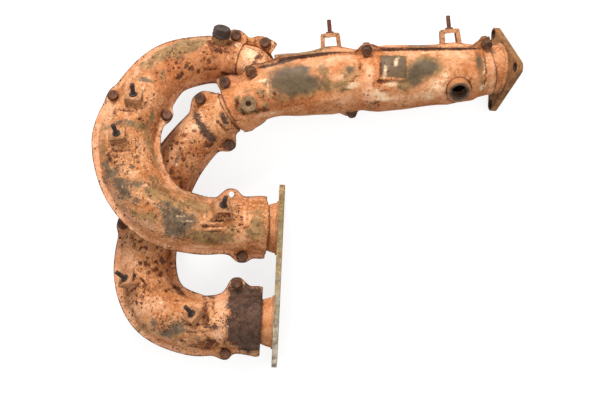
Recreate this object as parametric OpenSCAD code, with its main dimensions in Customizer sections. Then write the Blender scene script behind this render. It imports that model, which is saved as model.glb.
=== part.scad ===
// Exhaust manifold: a head flange, two looping branch pipes that join in a collector, and a three-bolt
// outlet flange. Pressed heat shields are bolted round the pipes in halves, along a seam with lips.
//
// Millimetres. The origin is the centre of the face that meets the cylinder head, +X points out of
// that face, +Y runs along the row of ports, and +Z is up from the floor that the part lies on.

/* [Head flange] */
// Distance between the two exhaust ports
port_spacing = 104; // [98:1:125]
// Length of the flange
flange_length = 200; // [190:1:240]
// Width of the flange
flange_width = 80; // [78:1:96]
// Thickness of the flange plate
flange_thick = 6; // [4:0.5:10]
// Bore of each port
port_bore = 52; // [44:1:54]
// Outside diameter of a pipe where it meets the flange
port_od = 56; // [54:1:60]
// Diameter of the head stud holes
stud_hole = 10.5; // [8.5:0.5:12.5]
// Distance between the stud holes along the flange, end to end
stud_span = 176; // [166:1:180]
// Distance between the two rows of stud holes
stud_rows = 56; // [50:1:60]

/* [Pipes] */
// Outside diameter of the branch pipes
pipe_od = 42; // [38:1:50]
// Wall of the pipes
pipe_wall = 2; // [1.5:0.25:3]
// Height of the upper loop along the flange
upper_height = 182; // [176:1:220]
// Reach of the upper loop behind the head face
upper_reach = 175; // [165:1:210]
// Reach of the lower loop behind the head face
lower_reach = 151; // [140:1:160]
// Length of the collector, from the joined pipes to the outlet flange
collector_length = 252; // [210:1:303]
// Outside diameter of the collector's neck
neck_od = 51; // [44:1:54]
// Clearance between the two branches where they cross
crossing_gap = 5; // [3:0.5:12]

/* [Outlet flange] */
// Pitch circle radius of the three outlet bolts
outlet_pitch = 45; // [42:1:54]
// Radius of the outlet flange's corners
outlet_corner = 7.5; // [7:0.5:10]
// Thickness of the outlet flange
outlet_thick = 7; // [5:0.5:10]
// Diameter of the outlet bolt holes
outlet_hole = 9.5; // [8:0.5:11]
// Slope of the outlet below level, in degrees
outlet_slope = 18; // [10:1:22]

/* [Heat shields] */
// Thickness of the shield sheet
sheet = 1.2; // [0.8:0.1:1.6]
// Air gap between a branch pipe and its shield
air_gap = 2.2; // [1.5:0.1:3]
// Turn of the collector's seam towards the upper side, in degrees
seam_roll = 36; // [25:1:45]

/* [Fasteners] */
// Thread diameter of the clamp bolts
bolt_d = 6; // [5:0.5:6.5]
// Width across the flats of the clamp bolts and nuts
bolt_flats = 10; // [8:0.5:11]
// Diameter of the clamp bolts' washer face
bolt_face = 12.5; // [11.5:0.5:13]
// Distance from a clamp bolt's centre to the edge of its ear
ear_edge = 6.5; // [6:0.5:8]
// Half-length of an ear along its lip
ear_length = 17; // [13:1:22]
// Thread diameter of the small mounting studs
stud_d = 5; // [4:0.5:6]
// Length of the small mounting studs
stud_length = 15; // [12:1:24]
// Thread diameter of the sensor bung
sensor_thread = 18; // [14:1:18]
// Outside diameter of the sensor bung
sensor_od = 27; // [25:0.5:28]

/* [Hidden] */
fit = 0.1;              // space between parts that touch
seat = 0.3;             // space between a shield's necked end and the pipe in it
flange_corner = 9;      // radius of the head flange's corners
pipe_sides = 20;
arch_steps = 8;
floor_z = -flange_width / 2;
port_y = port_spacing / 2;
pipe_r = pipe_od / 2;
port_r = port_od / 2;
port_flare = 26;        // length over which a port's wide end narrows to the pipe
shield_h = pipe_r + air_gap + sheet;
low_z = floor_z + shield_h + 0.2;
high_z = low_z + 2 * shield_h + crossing_gap;
top_y = port_y + upper_height;
upper_bend = 80;        // half-width of the upper loop, along X
lower_bend = 59;        // radius of the lower loop
lower_dip = 7;          // how far the lower loop bows below its port
sweep_x = 160;          // half-width of the lower branch's long sweep to the collector

mouth_turn = 6;         // heading of the collector at its mouth
mouth_r = pipe_r + 9.5;
mouth = [-21, top_y - 27, 2.5];
branch_spread = 15;     // distance of each branch's end from the collector's axis
branch_lift = 4;        // the lower branch's end lies this far above the axis, the upper's below
outlet = [mouth.x + collector_length, mouth.y + 32.5,
          floor_z + (outlet_pitch / 2 + outlet_corner) * cos(outlet_slope)
          + outlet_thick * sin(outlet_slope)];
outlet_axis = [cos(outlet_slope), 0, -sin(outlet_slope)];

function unit(v) = v / norm(v);
function heading(a) = [cos(a), sin(a), 0];
function mix(a, b, t) = a + (b - a) * t;
function sorted(v) = len(v) < 2 ? v :
    let (p = v[floor(len(v) / 2)])
    concat(sorted([for (x = v) if (x < p) x]), p, sorted([for (x = v) if (x > p) x]));
function thinned(v, gap, i = 0, last = -1) = i == len(v) ? [] :
    v[i] - last < gap ? thinned(v, gap, i + 1, last) : concat(v[i], thinned(v, gap, i + 1, v[i]));
function steps(a, b, gap) = let (n = ceil((b - a) / gap)) [for (i = [0 : n]) mix(a, b, i / n)];

// A route is a list of points. The curve runs through all but the first and last, which only turn
// its ends. u counts the points: u = 0 is the curve's start, and u = 1 is the next point.
function knot(r, u) = min(floor(u), len(r) - 4);
function at(r, u) = let (i = knot(r, u), t = u - i, a = r[i], b = r[i + 1], c = r[i + 2], d = r[i + 3])
    (2 * b + (c - a) * t + (2 * a - 5 * b + 4 * c - d) * t * t
        + (3 * b - a - 3 * c + d) * pow(t, 3)) / 2;
function along(r, u) =
    let (i = knot(r, u), t = u - i, a = r[i], b = r[i + 1], c = r[i + 2], d = r[i + 3])
    unit(c - a + 2 * (2 * a - 5 * b + 4 * c - d) * t + 3 * (3 * b - a - 3 * c + d) * t * t);

// A station is [centre, side, front]: side points to the left of the direction of travel, which is
// the outside of both loops, and front points up, away from the floor. roll turns both.
function station(p, dir, roll = 0) =
    let (side = unit(cross([0, 0, 1], dir)), front = cross(dir, side))
    [p, side * cos(roll) + front * sin(roll), front * cos(roll) - side * sin(roll)];
function put(s, q) = s[0] + s[1] * q[0] + s[2] * q[1];

// Routes of the two branches, out of the ports and round to the collector's mouth
mouth_dir = heading(mouth_turn);
mouth_side = cross([0, 0, 1], mouth_dir);
upper_end = mouth + mouth_side * branch_spread - [0, 0, branch_lift] - mouth_dir * fit;
lower_end = mouth - mouth_side * branch_spread + [0, 0, branch_lift] - mouth_dir * fit;
port_x = -flange_thick - fit;

function upper_z(a) = high_z * lookup(a, [[0, 0.5], [30, 0.91], [60, 1], [90, 0.92], [120, 0.68],
                                         [150, 0.3], [180, -0.12]]);
function upper_flat(a) = lookup(a, [[90, 1], [120, 0.94], [150, 0.98], [180, 1]]);
upper_last = [-42, top_y - 4, low_z + 5];
upper_route = [
    [28, port_y, 2], [port_x, port_y, 0], [-28, port_y, 2], [-62, port_y, 9],
    for (a = [0 : 30 : 180])
        [upper_bend - upper_reach - upper_bend * upper_flat(a) * sin(a),
         port_y + upper_height / 2 * (1 - upper_flat(a) * cos(a)), upper_z(a)],
    [-66, top_y, low_z], upper_last, upper_end, upper_last + mouth_dir * 40];

bend_y = -port_y - lower_dip + lower_bend;
sweep_y = top_y - 34 - bend_y;
lower_last = [sweep_x * (1 - cos(68)) - lower_reach, bend_y + sweep_y * sin(68), 8];
lower_route = [
    [28, -port_y, 0], [port_x, -port_y, 0], [-28, -port_y, 0], [-58, -port_y - 3, -1],
    for (a = [0 : 45 : 45])
        [lower_bend - lower_reach - lower_bend * sin(a), bend_y - lower_bend * cos(a),
         low_z * lookup(a, [[0, 0.2], [45, 0.6]])],
    for (a = [0 : 18 : 54])
        [sweep_x * (1 - cos(a)) - lower_reach, bend_y + sweep_y * sin(a),
         mix(low_z, 8, lookup(a, [[0, 0.1], [18, 0], [36, 0.1], [54, 0.7]]))],
    lower_last, lower_end, lower_last + mouth_dir * 40];

// Rows are [share of the collector's length, rise along Y, height]
collector_rows = [[0.13, 4.2, 1.5], [0.345, 11, 2], [0.565, 17, 3], [0.75, 22, 3], [0.88, 27, 0.5]];
collector_points = [for (k = collector_rows) mouth + [collector_length * k[0], k[1], k[2] - mouth.z]];
collector_route = [
    collector_points[0] - mouth_dir * 60, mouth, each collector_points,
    outlet, collector_points[4] + outlet_axis * 60];

// Half-widths of a pipe at u, [across, up]
function pipe_half(r, u, last) =
    let (x = -at(r, u).x, f = max(0, 1 - (x + port_x) / port_flare), end = max(0, u - last + 1))
    u < 2 ? let (h = mix(pipe_r, port_r, f * f * (3 - 2 * f))) [h, h]
          : [mix(pipe_r, branch_spread - 0.5, end), pipe_r];
function collector_half(u) = lookup(u, [[0, mouth_r], [1, mouth_r - 0.5], [2, mouth_r - 2.5],
    [3, mouth_r - 2.5], [4, mouth_r - 4], [5, neck_od / 2], [6, neck_od / 2]]);

// A wall between two grids of points, outer[i][j] and inner[i][j]. ring joins j's end to its start,
// and skew splits each cell along its other diagonal, so that the two halves of a shield match.
module wall(outer, inner, ring, skew = false) {
    n = len(outer);
    m = len(outer[0]);
    last = ring ? m - 1 : m - 2;
    function o(i, j) = i * m + j % m;
    function w(i, j) = n * m + i * m + j % m;
    function quad(a, b, c, d) = skew ? [[a, b, d], [b, c, d]] : [[a, b, c], [a, c, d]];
    faces = [
        for (i = [0 : n - 2]) each [
            for (j = [0 : last]) each quad(o(i, j), o(i + 1, j), o(i + 1, j + 1), o(i, j + 1)),
            for (j = [0 : last]) each quad(w(i, j), w(i, j + 1), w(i + 1, j + 1), w(i + 1, j)),
            if (!ring) each quad(o(i, 0), w(i, 0), w(i + 1, 0), o(i + 1, 0)),
            if (!ring) each quad(o(i, m - 1), o(i + 1, m - 1), w(i + 1, m - 1), w(i, m - 1))],
        for (j = [0 : last]) each quad(o(0, j), o(0, j + 1), w(0, j + 1), w(0, j)),
        for (j = [0 : last])
            each quad(o(n - 1, j), w(n - 1, j), w(n - 1, j + 1), o(n - 1, j + 1))];
    polyhedron([for (g = [outer, inner], row = g) each row], faces);
}

function oval(s, half) =
    [for (j = [0 : pipe_sides - 1]) let (a = 360 * j / pipe_sides)
        put(s, [half[0] * cos(a), half[1] * sin(a)])];

// A hollow pipe along a route, with its half-widths for each station
module pipe(route, us, halves) {
    s = [for (u = us) station(at(route, u), along(route, u))];
    wall([for (i = [0 : len(us) - 1]) oval(s[i], halves[i])],
         [for (i = [0 : len(us) - 1]) oval(s[i], halves[i] - [pipe_wall, pipe_wall])], true);
}

// Section of a shield half: a lip, an arch of height c, and a lip. a holds the arch's half-width and
// tips the lip's edge, on each side. Both skins have the same number of points.
function section(a, c, tips, skin) =
    let (t = skin ? sheet : 0, g = fit + t, h = c - fit - sheet)
    [[tips[0], g], for (j = [0 : arch_steps]) let (d = 180 * j / arch_steps)
        [(a[d < 90 ? 0 : 1] - sheet + t) * cos(d), g + h * sin(d)], [-tips[1], g]];

// Shields are tables of rows [u, half-width, front height, back height, lip], read between rows.
function col(table, k) = [for (row = table) [row[0], row[k]]];
// Ears are rows [u, offset to the side, bolted]: a hole in a lip, which is widened round it, and the
// arch beside a bolted ear is dented to let its head in.
function reach(name, u) =
    let (r = route_of(name), d = 0.01) ear_length * 2 * d / norm(at(r, u + d) - at(r, u - d));
function beside(name, u, side) =
    [for (e = ears_of(name)) let (k = (u - e[0]) / reach(name, e[0])) if (e[1] * side > 0 && abs(k) < 1)
        [abs(e[1]), e[2], min(1, pow(cos(90 * k) / cos(27), 1.2))]];
function half_width(name, u, side) =
    let (a = lookup(u, col(table_of(name), 1)), room = bolt_face / 2 + 2 * seat)
    min([a, for (e = beside(name, u, side)) if (e[1]) a - max(0, a - e[0] + room) * e[2]]);
function lip_edge(name, u, side) =
    let (a = lookup(u, col(table_of(name), 1)), lip = lookup(u, col(table_of(name), 4)))
    max([a + lip, for (e = beside(name, u, side)) a + (e[0] + ear_edge - a) * e[2]]);
function ring_places(name) =
    thinned(sorted(concat(steps(0, 12, 0.4),
        [for (e = ears_of(name), k = [-1, -0.6, -0.3, 0.3, 0.6, 1])
            e[0] + k * reach(name, e[0])])), 0.05);

// A half of the shield called name, between u0 and u1
module shield(name, u0, u1, front) {
    us = [u0, for (u = ring_places(name)) if (u > u0 + 0.04 && u < u1 - 0.04) u, u1];
    turn = front ? 1 : -1;
    function grid(skin) = [for (u = us) let (
            s = frame_at(name, u), height = lookup(u, col(table_of(name), front ? 2 : 3)),
            widths = [for (k = [turn, -turn]) half_width(name, u, k)],
            tips = [for (k = [turn, -turn]) lip_edge(name, u, k)])
        [for (q = section(widths, height, tips, skin)) put(s, q * turn)]];
    difference() {
        wall(grid(true), grid(false), false, !front);
        for (e = ears_of(name)) if (e[0] > u0 && e[0] < u1) on_seam(name, e)
            cylinder(d = bolt_d + 0.6, h = 20, center = true, $fn = 24);
    }
}

// Stations along each shield: "upper" and "lower" follow their pipes, "collector" has its own table
function route_of(name) = name == "upper" ? upper_route : name == "lower" ? lower_route : cover_route;
function table_of(name) = name == "upper" ? upper_table : name == "lower" ? lower_table : cover_table;
function ears_of(name) = name == "upper" ? upper_ears : name == "lower" ? lower_ears : cover_ears;
function frame_at(name, u) = name == "collector"
    ? let (i = min(floor(u), len(cover_dirs) - 2), dir = mix(cover_dirs[i], cover_dirs[i + 1], u - i))
        station(at(cover_route, u), unit(dir), lookup(u, cover_roll))
    : station(at(route_of(name), u), along(route_of(name), u));

// Axes: x along x_axis, z along z_axis, both at right angles, at p
module placed(p, x_axis, z_axis) {
    y_axis = cross(z_axis, x_axis);
    multmatrix([for (i = [0 : 2]) [x_axis[i], y_axis[i], z_axis[i], p[i]]]) children();
}
function seam_point(name, u, offset) = put(frame_at(name, u), [offset, 0]);
// At an ear, with x out to the side and z square to the lip
module on_seam(name, e) {
    s = frame_at(name, e[0]);
    travel = seam_point(name, e[0] + 0.1, e[1]) - seam_point(name, e[0] - 0.1, e[1]);
    placed(seam_point(name, e[0], e[1]), s[1], unit(cross(travel, s[1]))) children();
}

arch = shield_h;        // height of a shield over a branch pipe
function necked(r) = (r + seat) / cos(90 / arch_steps) + sheet;
port_arch = necked(port_r);
end_arch = necked(pipe_r);
upper_table = [
    [0.62, port_arch, port_arch, port_arch, 4],
    [0.9, port_arch, port_arch, port_arch, 5], [1.5, pipe_r + 6, arch + 1, arch + 1, 6],
    [2.2, pipe_r + 5, arch, arch, 5], [3, pipe_r + 5.5, arch, arch, 6],
    [4, pipe_r + 6.5, arch, arch, 7.5], [5, pipe_r + 8, arch, arch, 8], [6, pipe_r + 9, arch, arch, 8],
    [7, pipe_r + 7, arch, arch, 5], [8, pipe_r + 5, arch, arch, 3], [9, pipe_r + 4, arch, arch, 1.5],
    [10.1, pipe_r + 3.5, arch, arch, 1.5], [10.5, end_arch, end_arch, end_arch, 2],
    [11, end_arch, end_arch, end_arch + 0.5, 2], [11.4, end_arch - 1.5, end_arch, end_arch + 1.5, 2]];
upper_ears = [[1.5, pipe_r + 12.5, true], [1.9, -pipe_r - 14, false], [6.75, pipe_r + 9, true],
              [6.95, -pipe_r - 11, true], [10.05, pipe_r + 8.5, true], [11.1, pipe_r + 8, true]];
lower_table = [
    [0.62, port_arch, port_arch, port_arch, 8],
    [0.9, port_arch + 0.5, port_arch, port_arch, 9], [1.5, pipe_r + 8, arch + 1, arch + 1, 7],
    [2.2, pipe_r + 6, arch, arch, 5], [3, pipe_r + 6.5, arch, arch, 7], [4, pipe_r + 7, arch, arch, 8],
    [5, pipe_r + 6, arch, arch, 8], [6, pipe_r + 4.5, arch, arch, 6],
    [7, pipe_r + 4, arch, arch, 3], [8, pipe_r + 3.5, arch, arch, 1.5],
    [8.4, end_arch, end_arch, end_arch, 1.5], [8.58, end_arch, end_arch, end_arch, 1.5]];
lower_ears = [[1.55, -pipe_r - 22, true], [2.2, pipe_r + 13, true], [5.7, pipe_r + 10, true],
              [8.05, -pipe_r - 9, true], [8.2, pipe_r + 9, true]];

// The collector's shield follows the lower branch up to the mouth, and then the collector. Its seam
// turns to the upper side on the way. Rows are [branch or collector route, place along it].
cover_rows = [for (u = [8.3, 8.66, 9.25]) [lower_route, u],
              for (u = [0.02, 1, 1.6, 2, 2.2, 2.5, 3, 3.7, 4.55, 5.07, 5.5, 5.8]) [collector_route, u]];
cover_route = [for (k = cover_rows) at(k[0], k[1])];
cover_dirs = [for (k = [1 : len(cover_rows) - 2]) along(cover_rows[k][0], cover_rows[k][1])];
cover_roll = [[0, 8], [0.6, 8], [1, 23], [1.5, 25], [2, seam_roll + 4], [3, seam_roll]];
neck_arch = necked(neck_od / 2);
near_neck = (mouth_r + neck_od / 2) / 2 + 0.3;
cover_table = [
    [0, pipe_r + 4, pipe_r + 4, pipe_r + 9, 3], [1, pipe_r + 4.5, pipe_r + 6, pipe_r + 9, 4],
    [2, mouth_r + 2.8, mouth_r + 3, mouth_r + 3.5, 4],
    [3, mouth_r + 3.5, mouth_r + 3.5, mouth_r + 6.5, 5],
    [4, mouth_r + 5, mouth_r + 5, mouth_r + 8.5, 5],
    [5, mouth_r + 3.5, mouth_r + 3.5, mouth_r + 5, 4],
    [6, mouth_r + 2, mouth_r + 2, mouth_r + 2.5, 3],
    [7, mouth_r + 5.5, mouth_r + 5.5, mouth_r + 7.5, 5],
    [8, mouth_r + 4.5, mouth_r + 4.5, mouth_r + 7, 5],
    [9, mouth_r + 2, mouth_r + 2, mouth_r + 5.5, 5],
    [10, mouth_r - 0.5, mouth_r - 0.5, mouth_r + 3.5, 4],
    [11, near_neck, near_neck, near_neck + 1.7, 3],
    [12, neck_arch, neck_arch, neck_arch, 3]];
cover_ears = [[0.3, pipe_r + 11, true], [1.25, pipe_r + 12.5, true], [5, -mouth_r - 9.5, true],
              [6.6, mouth_r + 9.5, true], [11.7, neck_od / 2 + 10, true]];

module head_flange() {
    color("#8a7a5c") rotate([0, -90, 0]) difference() {
        linear_extrude(flange_thick) {
            square([flange_width - 2 * flange_corner, flange_length], center = true);
            square([flange_width, flange_length - 2 * flange_corner], center = true);
            for (x = [-1, 1], y = [-1, 1])
                translate([x * flange_width / 2, y * flange_length / 2] - flange_corner * [x, y])
                    circle(flange_corner, $fn = 48);
        }
        for (y = [-1, 1]) translate([0, y * port_y, -1])
            cylinder(d = port_bore, h = flange_thick + 2, $fn = 96);
        for (x = [-1, 1], y = [-1, 0, 1]) translate([x * stud_rows / 2, y * stud_span / 2, -1])
            cylinder(d = stud_hole, h = flange_thick + 2, $fn = 32);
    }
}

module upper_pipe() {
    us = concat([0, 0.25, 0.5, 0.75, 1, 1.4], steps(2, 12, 0.5));
    color("#b8754a") pipe(upper_route, us, [for (u = us) pipe_half(upper_route, u, 12)]);
}
module lower_pipe() {
    us = concat([0, 0.25, 0.5, 0.75, 1, 1.4], steps(2, 10, 0.4));
    color("#b8754a") pipe(lower_route, us, [for (u = us) pipe_half(lower_route, u, 10)]);
}

module collector_pipe() {
    us = steps(0, 6, 0.5);
    s = sensor_seat();
    color("#b07048") difference() {
        pipe(collector_route, us, [for (u = us) [collector_half(u), collector_half(u)]]);
        placed(s[0], s[1], s[2]) cylinder(d = sensor_thread, h = 20, center = true, $fn = 48);
    }
}

module outlet_plate(h) {
    up = [sin(outlet_slope), 0, cos(outlet_slope)];
    placed(outlet + outlet_axis * fit, [0, 1, 0], outlet_axis) linear_extrude(h)
        hull() for (a = [90, 210, 330]) translate(outlet_pitch * [cos(a), sin(a)])
            circle(outlet_corner, $fn = 32);
}
module outlet_flange() {
    color("#7a4f35") difference() {
        outlet_plate(outlet_thick);
        placed(outlet, [0, 1, 0], outlet_axis) {
            translate([0, 0, -1]) cylinder(d = neck_od - 2 * pipe_wall, h = outlet_thick + 2, $fn = 96);
            for (a = [90, 210, 330]) translate([outlet_pitch * cos(a), outlet_pitch * sin(a), -1])
                cylinder(d = outlet_hole, h = outlet_thick + 2, $fn = 32);
        }
    }
}

module upper_shield_front() {
    s = plug_seat();
    color("#d08a58") difference() {
        shield("upper", 0.62, 10.5, true);
        placed(s[0], s[1], s[2]) cylinder(d = boss_od + 0.8, h = 30, $fn = 48);
    }
}
module upper_shield_back() color("#c07c4c") shield("upper", 0.62, 11.4, false);
module lower_shield_front() color("#d08a58") shield("lower", 0.62, 8.58, true);
module lower_shield_back() color("#c07c4c") shield("lower", 0.62, 8.58, false);
module collector_shield_front() {
    s = sensor_seat();
    color("#d08a58") difference() {
        shield("collector", 0, 12, true);
        placed(s[0], s[1], s[2]) cylinder(d = sensor_od + 2, h = 40, $fn = 48);
    }
}
module collector_shield_back() color("#c07c4c") shield("collector", 2.2, 12, false);

// The sensor bung stands on the collector, on the side away from the seam: [foot, x axis, z axis]
sensor_u = 4.37;
sensor_side = -36;
function sensor_seat() =
    let (s = station(at(collector_route, sensor_u), along(collector_route, sensor_u), -sensor_side))
    [s[0] + s[2] * (collector_half(sensor_u) + 0.2), s[1], s[2]];
module oxygen_sensor_bung() {
    s = sensor_seat();
    color("#a86a42") placed(s[0], s[1], s[2]) difference() {
        cylinder(d = sensor_od, h = 11, $fn = 64);
        translate([0, 0, -1]) cylinder(d = sensor_thread - 1.5, h = 13, $fn = 48);
    }
}

// A threaded boss stands on the upper branch and holds a plug, through a hole in the front shield
boss_od = 18;
boss_height = 8.5;
plug_flats = 17;
function plug_seat() =
    let (s = frame_at("upper", 9.35), t = 60, out = s[1] * sin(t) + s[2] * cos(t))
    [s[0] + out * (pipe_r + 0.2), cross(s[1], s[2]), out];
module plug_boss() {
    s = plug_seat();
    color("#8a5a3c") placed(s[0], s[1], s[2]) difference() {
        cylinder(d = boss_od, h = boss_height, $fn = 64);
        translate([0, 0, -1]) cylinder(d = boss_od - 6, h = boss_height + 2, $fn = 48);
    }
}
module plug() {
    s = plug_seat();
    color("#4a3328") placed(s[0] + s[2] * (boss_height + fit), s[1], s[2]) {
        translate([0, 0, -6]) cylinder(d = boss_od - 6 - 2 * fit, h = 7, $fn = 48);
        cylinder(d = boss_od + 2, h = 2.5, $fn = 64);
        translate([0, 0, 2]) cylinder(d = plug_flats / cos(30), h = 8, $fn = 6);
    }
}

// The bolts with their nuts, one for each bolted ear
clamps = [for (name = ["upper", "lower", "collector"], e = ears_of(name)) if (e[2]) [name, e]];
lip_face = fit + sheet + seat + fit;
nut_height = 4.5;
module clamp_bolt(k) {
    color("#4a3328") on_seam(clamps[k][0], clamps[k][1]) {
        translate([0, 0, -lip_face - nut_height - 0.5])
            cylinder(d = bolt_d, h = 2 * lip_face + nut_height + 1.5, $fn = 32);
        translate([0, 0, lip_face]) cylinder(d = bolt_face, h = 1.5, $fn = 48);
        translate([0, 0, lip_face + 1]) cylinder(d = bolt_flats / cos(30), h = 5, $fn = 6);
    }
}
module clamp_nut(k) {
    color("#54392b") on_seam(clamps[k][0], clamps[k][1]) translate([0, 0, -lip_face - nut_height])
        difference() {
            cylinder(d = bolt_flats / cos(30), h = nut_height, $fn = 6);
            translate([0, 0, -1]) cylinder(d = bolt_d + 0.2, h = nut_height + 2, $fn = 32);
        }
}

// Brackets that carry the small studs, rows [shield, u, angle from its front to its side, lean].
// A bracket with a lean is a wedge whose stud leans that way. The others are bridges along the pipe.
brackets = [["upper", 6.8, 14, [0, 1, 0]], ["upper", 5.95, 14, [-0.2, 1, 0]], ["upper", 2.33, -38],
            ["lower", 4.8, 38, [-0.4, 1, 0]], ["lower", 3.02, -20, [-1, 0.7, 0]],
            ["collector", 4.2, 90 + seam_roll], ["collector", 9.75, 90 + seam_roll]];
bracket_width = 16;
wedge = [[10, 0], [9, 3], [-5, 12], [-7.5, 0]];
bridge = [[11, 0], [9, 11], [-9, 11], [-11, 0]];
tall_bridge = [[11.5, 0], [10.5, 17.5], [-10.5, 17.5], [-11.5, 0]];
function wedged(k) = len(brackets[k]) == 4;
function tall(k) = brackets[k][0] == "collector";
function outline(k) = wedged(k) ? wedge : tall(k) ? tall_bridge : bridge;
function bracket_sheet(k) = tall(k) ? 3 : 2;

// The point of a shield's outer skin at t degrees from its front
function skin_point(w, h, t) =
    [w * sin(t), sign(cos(t)) * (fit + sheet + (h - fit - sheet) * abs(cos(t)))];
// The spot where a bracket stands: [point, its long axis, outward normal, fall of the shield beside it]
function spot(k) =
    let (b = brackets[k], s = frame_at(b[0], b[1]), t = b[2], table = table_of(b[0]),
         w = lookup(b[1], col(table, 1)), h = lookup(b[1], col(table, abs(t) > 90 ? 3 : 2)),
         out = unit(s[1] * (sin(t) / w) + s[2] * (cos(t) / h)), travel = cross(s[1], s[2]),
         lean = wedged(k) ? b[3] : travel, long = unit(lean - out * (lean * out)))
    [put(s, skin_point(w, h, t)), long, out, (1 - pow(long * travel, 2)) / (2 * w)];
module on_spot(k) {
    s = spot(k);
    placed(s[0], s[1], cross(s[1], s[2])) children();
}
module stud_bracket(k) {
    fall = spot(k)[3];
    function foot(q, y) = [q, y + seat + 2 * fit - fall * q * q];
    p = outline(k);
    t = bracket_sheet(k);
    inner = [foot(p[0].x - t, -1), p[1] - [t * 0.9, t * 0.8],
             p[2] + [t * 0.7, -t * 1.15], foot(p[3].x + t, -1)];
    color("#9a6240") on_spot(k) linear_extrude(bracket_width, center = true) difference() {
        polygon([foot(p[0].x, p[0].y), p[1], p[2], foot(p[3].x, p[3].y)]);
        polygon(inner);
    }
}
module mounting_stud(k) {
    p = outline(k);
    along_top = unit(p[1] - p[2]);
    color("#3c2c26") on_spot(k) translate(concat((p[1] + p[2]) / 2, 0))
        rotate([0, 0, atan2(along_top.y, along_top.x)]) rotate([-90, 0, 0]) translate([0, 0, fit]) {
            cylinder(d = stud_d, h = stud_length, $fn = 32);
            cylinder(d = stud_d + 4, h = 1.5, $fn = 32);
        }
}

// A flat weld nut on the front of the collector's shield, over the lower branch
weld_nut_flats = 17;
weld_nut_bore = 6;
weld_nut_u = 0.9;
weld_nut_turn = 18;     // angle from the middle of the front shield, towards the seam
weld_nut_gap = 0.6;
// The weld nut's seat on the collector's front shield: [foot, x axis, z axis]
function weld_nut_seat() =
    let (s = frame_at("collector", weld_nut_u), t = weld_nut_turn,
         w = lookup(weld_nut_u, col(cover_table, 1)), h = lookup(weld_nut_u, col(cover_table, 2)),
         out = unit(s[1] * sin(t) / w + s[2] * cos(t) / h))
    [put(s, skin_point(w, h, t)) + out * weld_nut_gap, unit(s[1] - out * (s[1] * out)), out];
module weld_nut() {
    s = weld_nut_seat();
    color("#8a6a50") placed(s[0], s[1], s[2]) difference() {
        cylinder(d = weld_nut_flats / cos(30), h = 3.5, $fn = 6);
        translate([0, 0, -1]) cylinder(d = weld_nut_bore, h = 6, $fn = 48);
    }
}

function numbered(name, count) = [for (k = [1 : count]) str(name, "_", k)];

head_flange();
upper_pipe();
lower_pipe();
collector_pipe();
outlet_flange();
upper_shield_front();
upper_shield_back();
lower_shield_front();
lower_shield_back();
collector_shield_front();
collector_shield_back();
oxygen_sensor_bung();
plug_boss();
plug();
weld_nut();
for (k = [0 : len(brackets) - 1]) {
    stud_bracket(k);
    mounting_stud(k);
}
for (k = [0 : len(clamps) - 1]) {
    clamp_bolt(k);
    clamp_nut(k);
}
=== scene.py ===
"""An exhaust manifold in rusted heat shields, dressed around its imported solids.

Lengths are millimetres in the part's own frame, and a mesh is put into metres as it is made. The
frame's origin is the centre of the face that meets the cylinder head: +X points out of that face,
+Y runs along the ports, and +Z is up from the floor. Each sub-assembly is a class that builds its
surfaces with numpy and dresses them with a finish.
"""

import logging
import math
from dataclasses import dataclass, field
from enum import Enum

import bpy
import numpy as np
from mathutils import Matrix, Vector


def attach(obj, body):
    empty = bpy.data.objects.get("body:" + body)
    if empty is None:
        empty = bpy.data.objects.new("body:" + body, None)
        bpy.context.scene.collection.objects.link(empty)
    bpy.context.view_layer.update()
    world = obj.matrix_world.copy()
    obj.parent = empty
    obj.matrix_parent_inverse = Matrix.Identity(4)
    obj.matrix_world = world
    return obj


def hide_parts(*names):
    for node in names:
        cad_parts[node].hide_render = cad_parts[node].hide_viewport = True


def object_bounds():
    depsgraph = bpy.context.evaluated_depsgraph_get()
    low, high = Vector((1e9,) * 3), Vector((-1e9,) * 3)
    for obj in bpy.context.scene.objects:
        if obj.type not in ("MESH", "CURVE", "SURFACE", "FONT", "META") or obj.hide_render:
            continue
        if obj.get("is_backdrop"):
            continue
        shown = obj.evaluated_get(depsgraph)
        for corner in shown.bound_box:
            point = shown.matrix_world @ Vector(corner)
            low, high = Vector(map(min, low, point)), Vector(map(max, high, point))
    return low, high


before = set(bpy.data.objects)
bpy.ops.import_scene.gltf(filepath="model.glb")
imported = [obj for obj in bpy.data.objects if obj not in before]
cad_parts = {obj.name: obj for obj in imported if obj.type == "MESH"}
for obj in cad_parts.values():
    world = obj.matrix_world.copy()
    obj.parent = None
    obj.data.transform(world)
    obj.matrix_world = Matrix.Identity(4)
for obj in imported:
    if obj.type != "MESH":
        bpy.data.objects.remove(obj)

Array = np.ndarray
Socket = bpy.types.NodeSocket
MM = 0.001
PIPE_STEP = 2.5
ALONG_PORTS = np.array([0.0, 1.0, 0.0])
LOG = logging.getLogger("manifold")


# ---------------------------------------------------------------- small mathematics


def unit(v: Array) -> Array:
    """Vectors of length one along the last axis."""
    return v / np.linalg.norm(v, axis=-1, keepdims=True)


def heading(degrees: float) -> Array:
    """The level unit vector at an angle from +X."""
    return np.array([math.cos(math.radians(degrees)), math.sin(math.radians(degrees)), 0.0])


def between(x: Array | float, rows: list, column: int = 1) -> Array:
    """A table's column read between its rows, in straight lines from row to row.

    Args:
        x: Places to read at, in the units of the table's first column.
        rows: The table, sorted by its first column.
        column: Which column to read.

    Returns:
        The value at each place.
    """
    table = np.array([row[: column + 1] for row in rows], float)
    return np.interp(x, table[:, 0], table[:, column])


def smoothstep(x: Array, low: float, high: float) -> Array:
    """0 below low, 1 above high, and 3t^2 - 2t^3 between them. low may be above high."""
    t = np.clip((x - low) / (high - low), 0, 1)
    return t * t * (3 - 2 * t)


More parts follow.
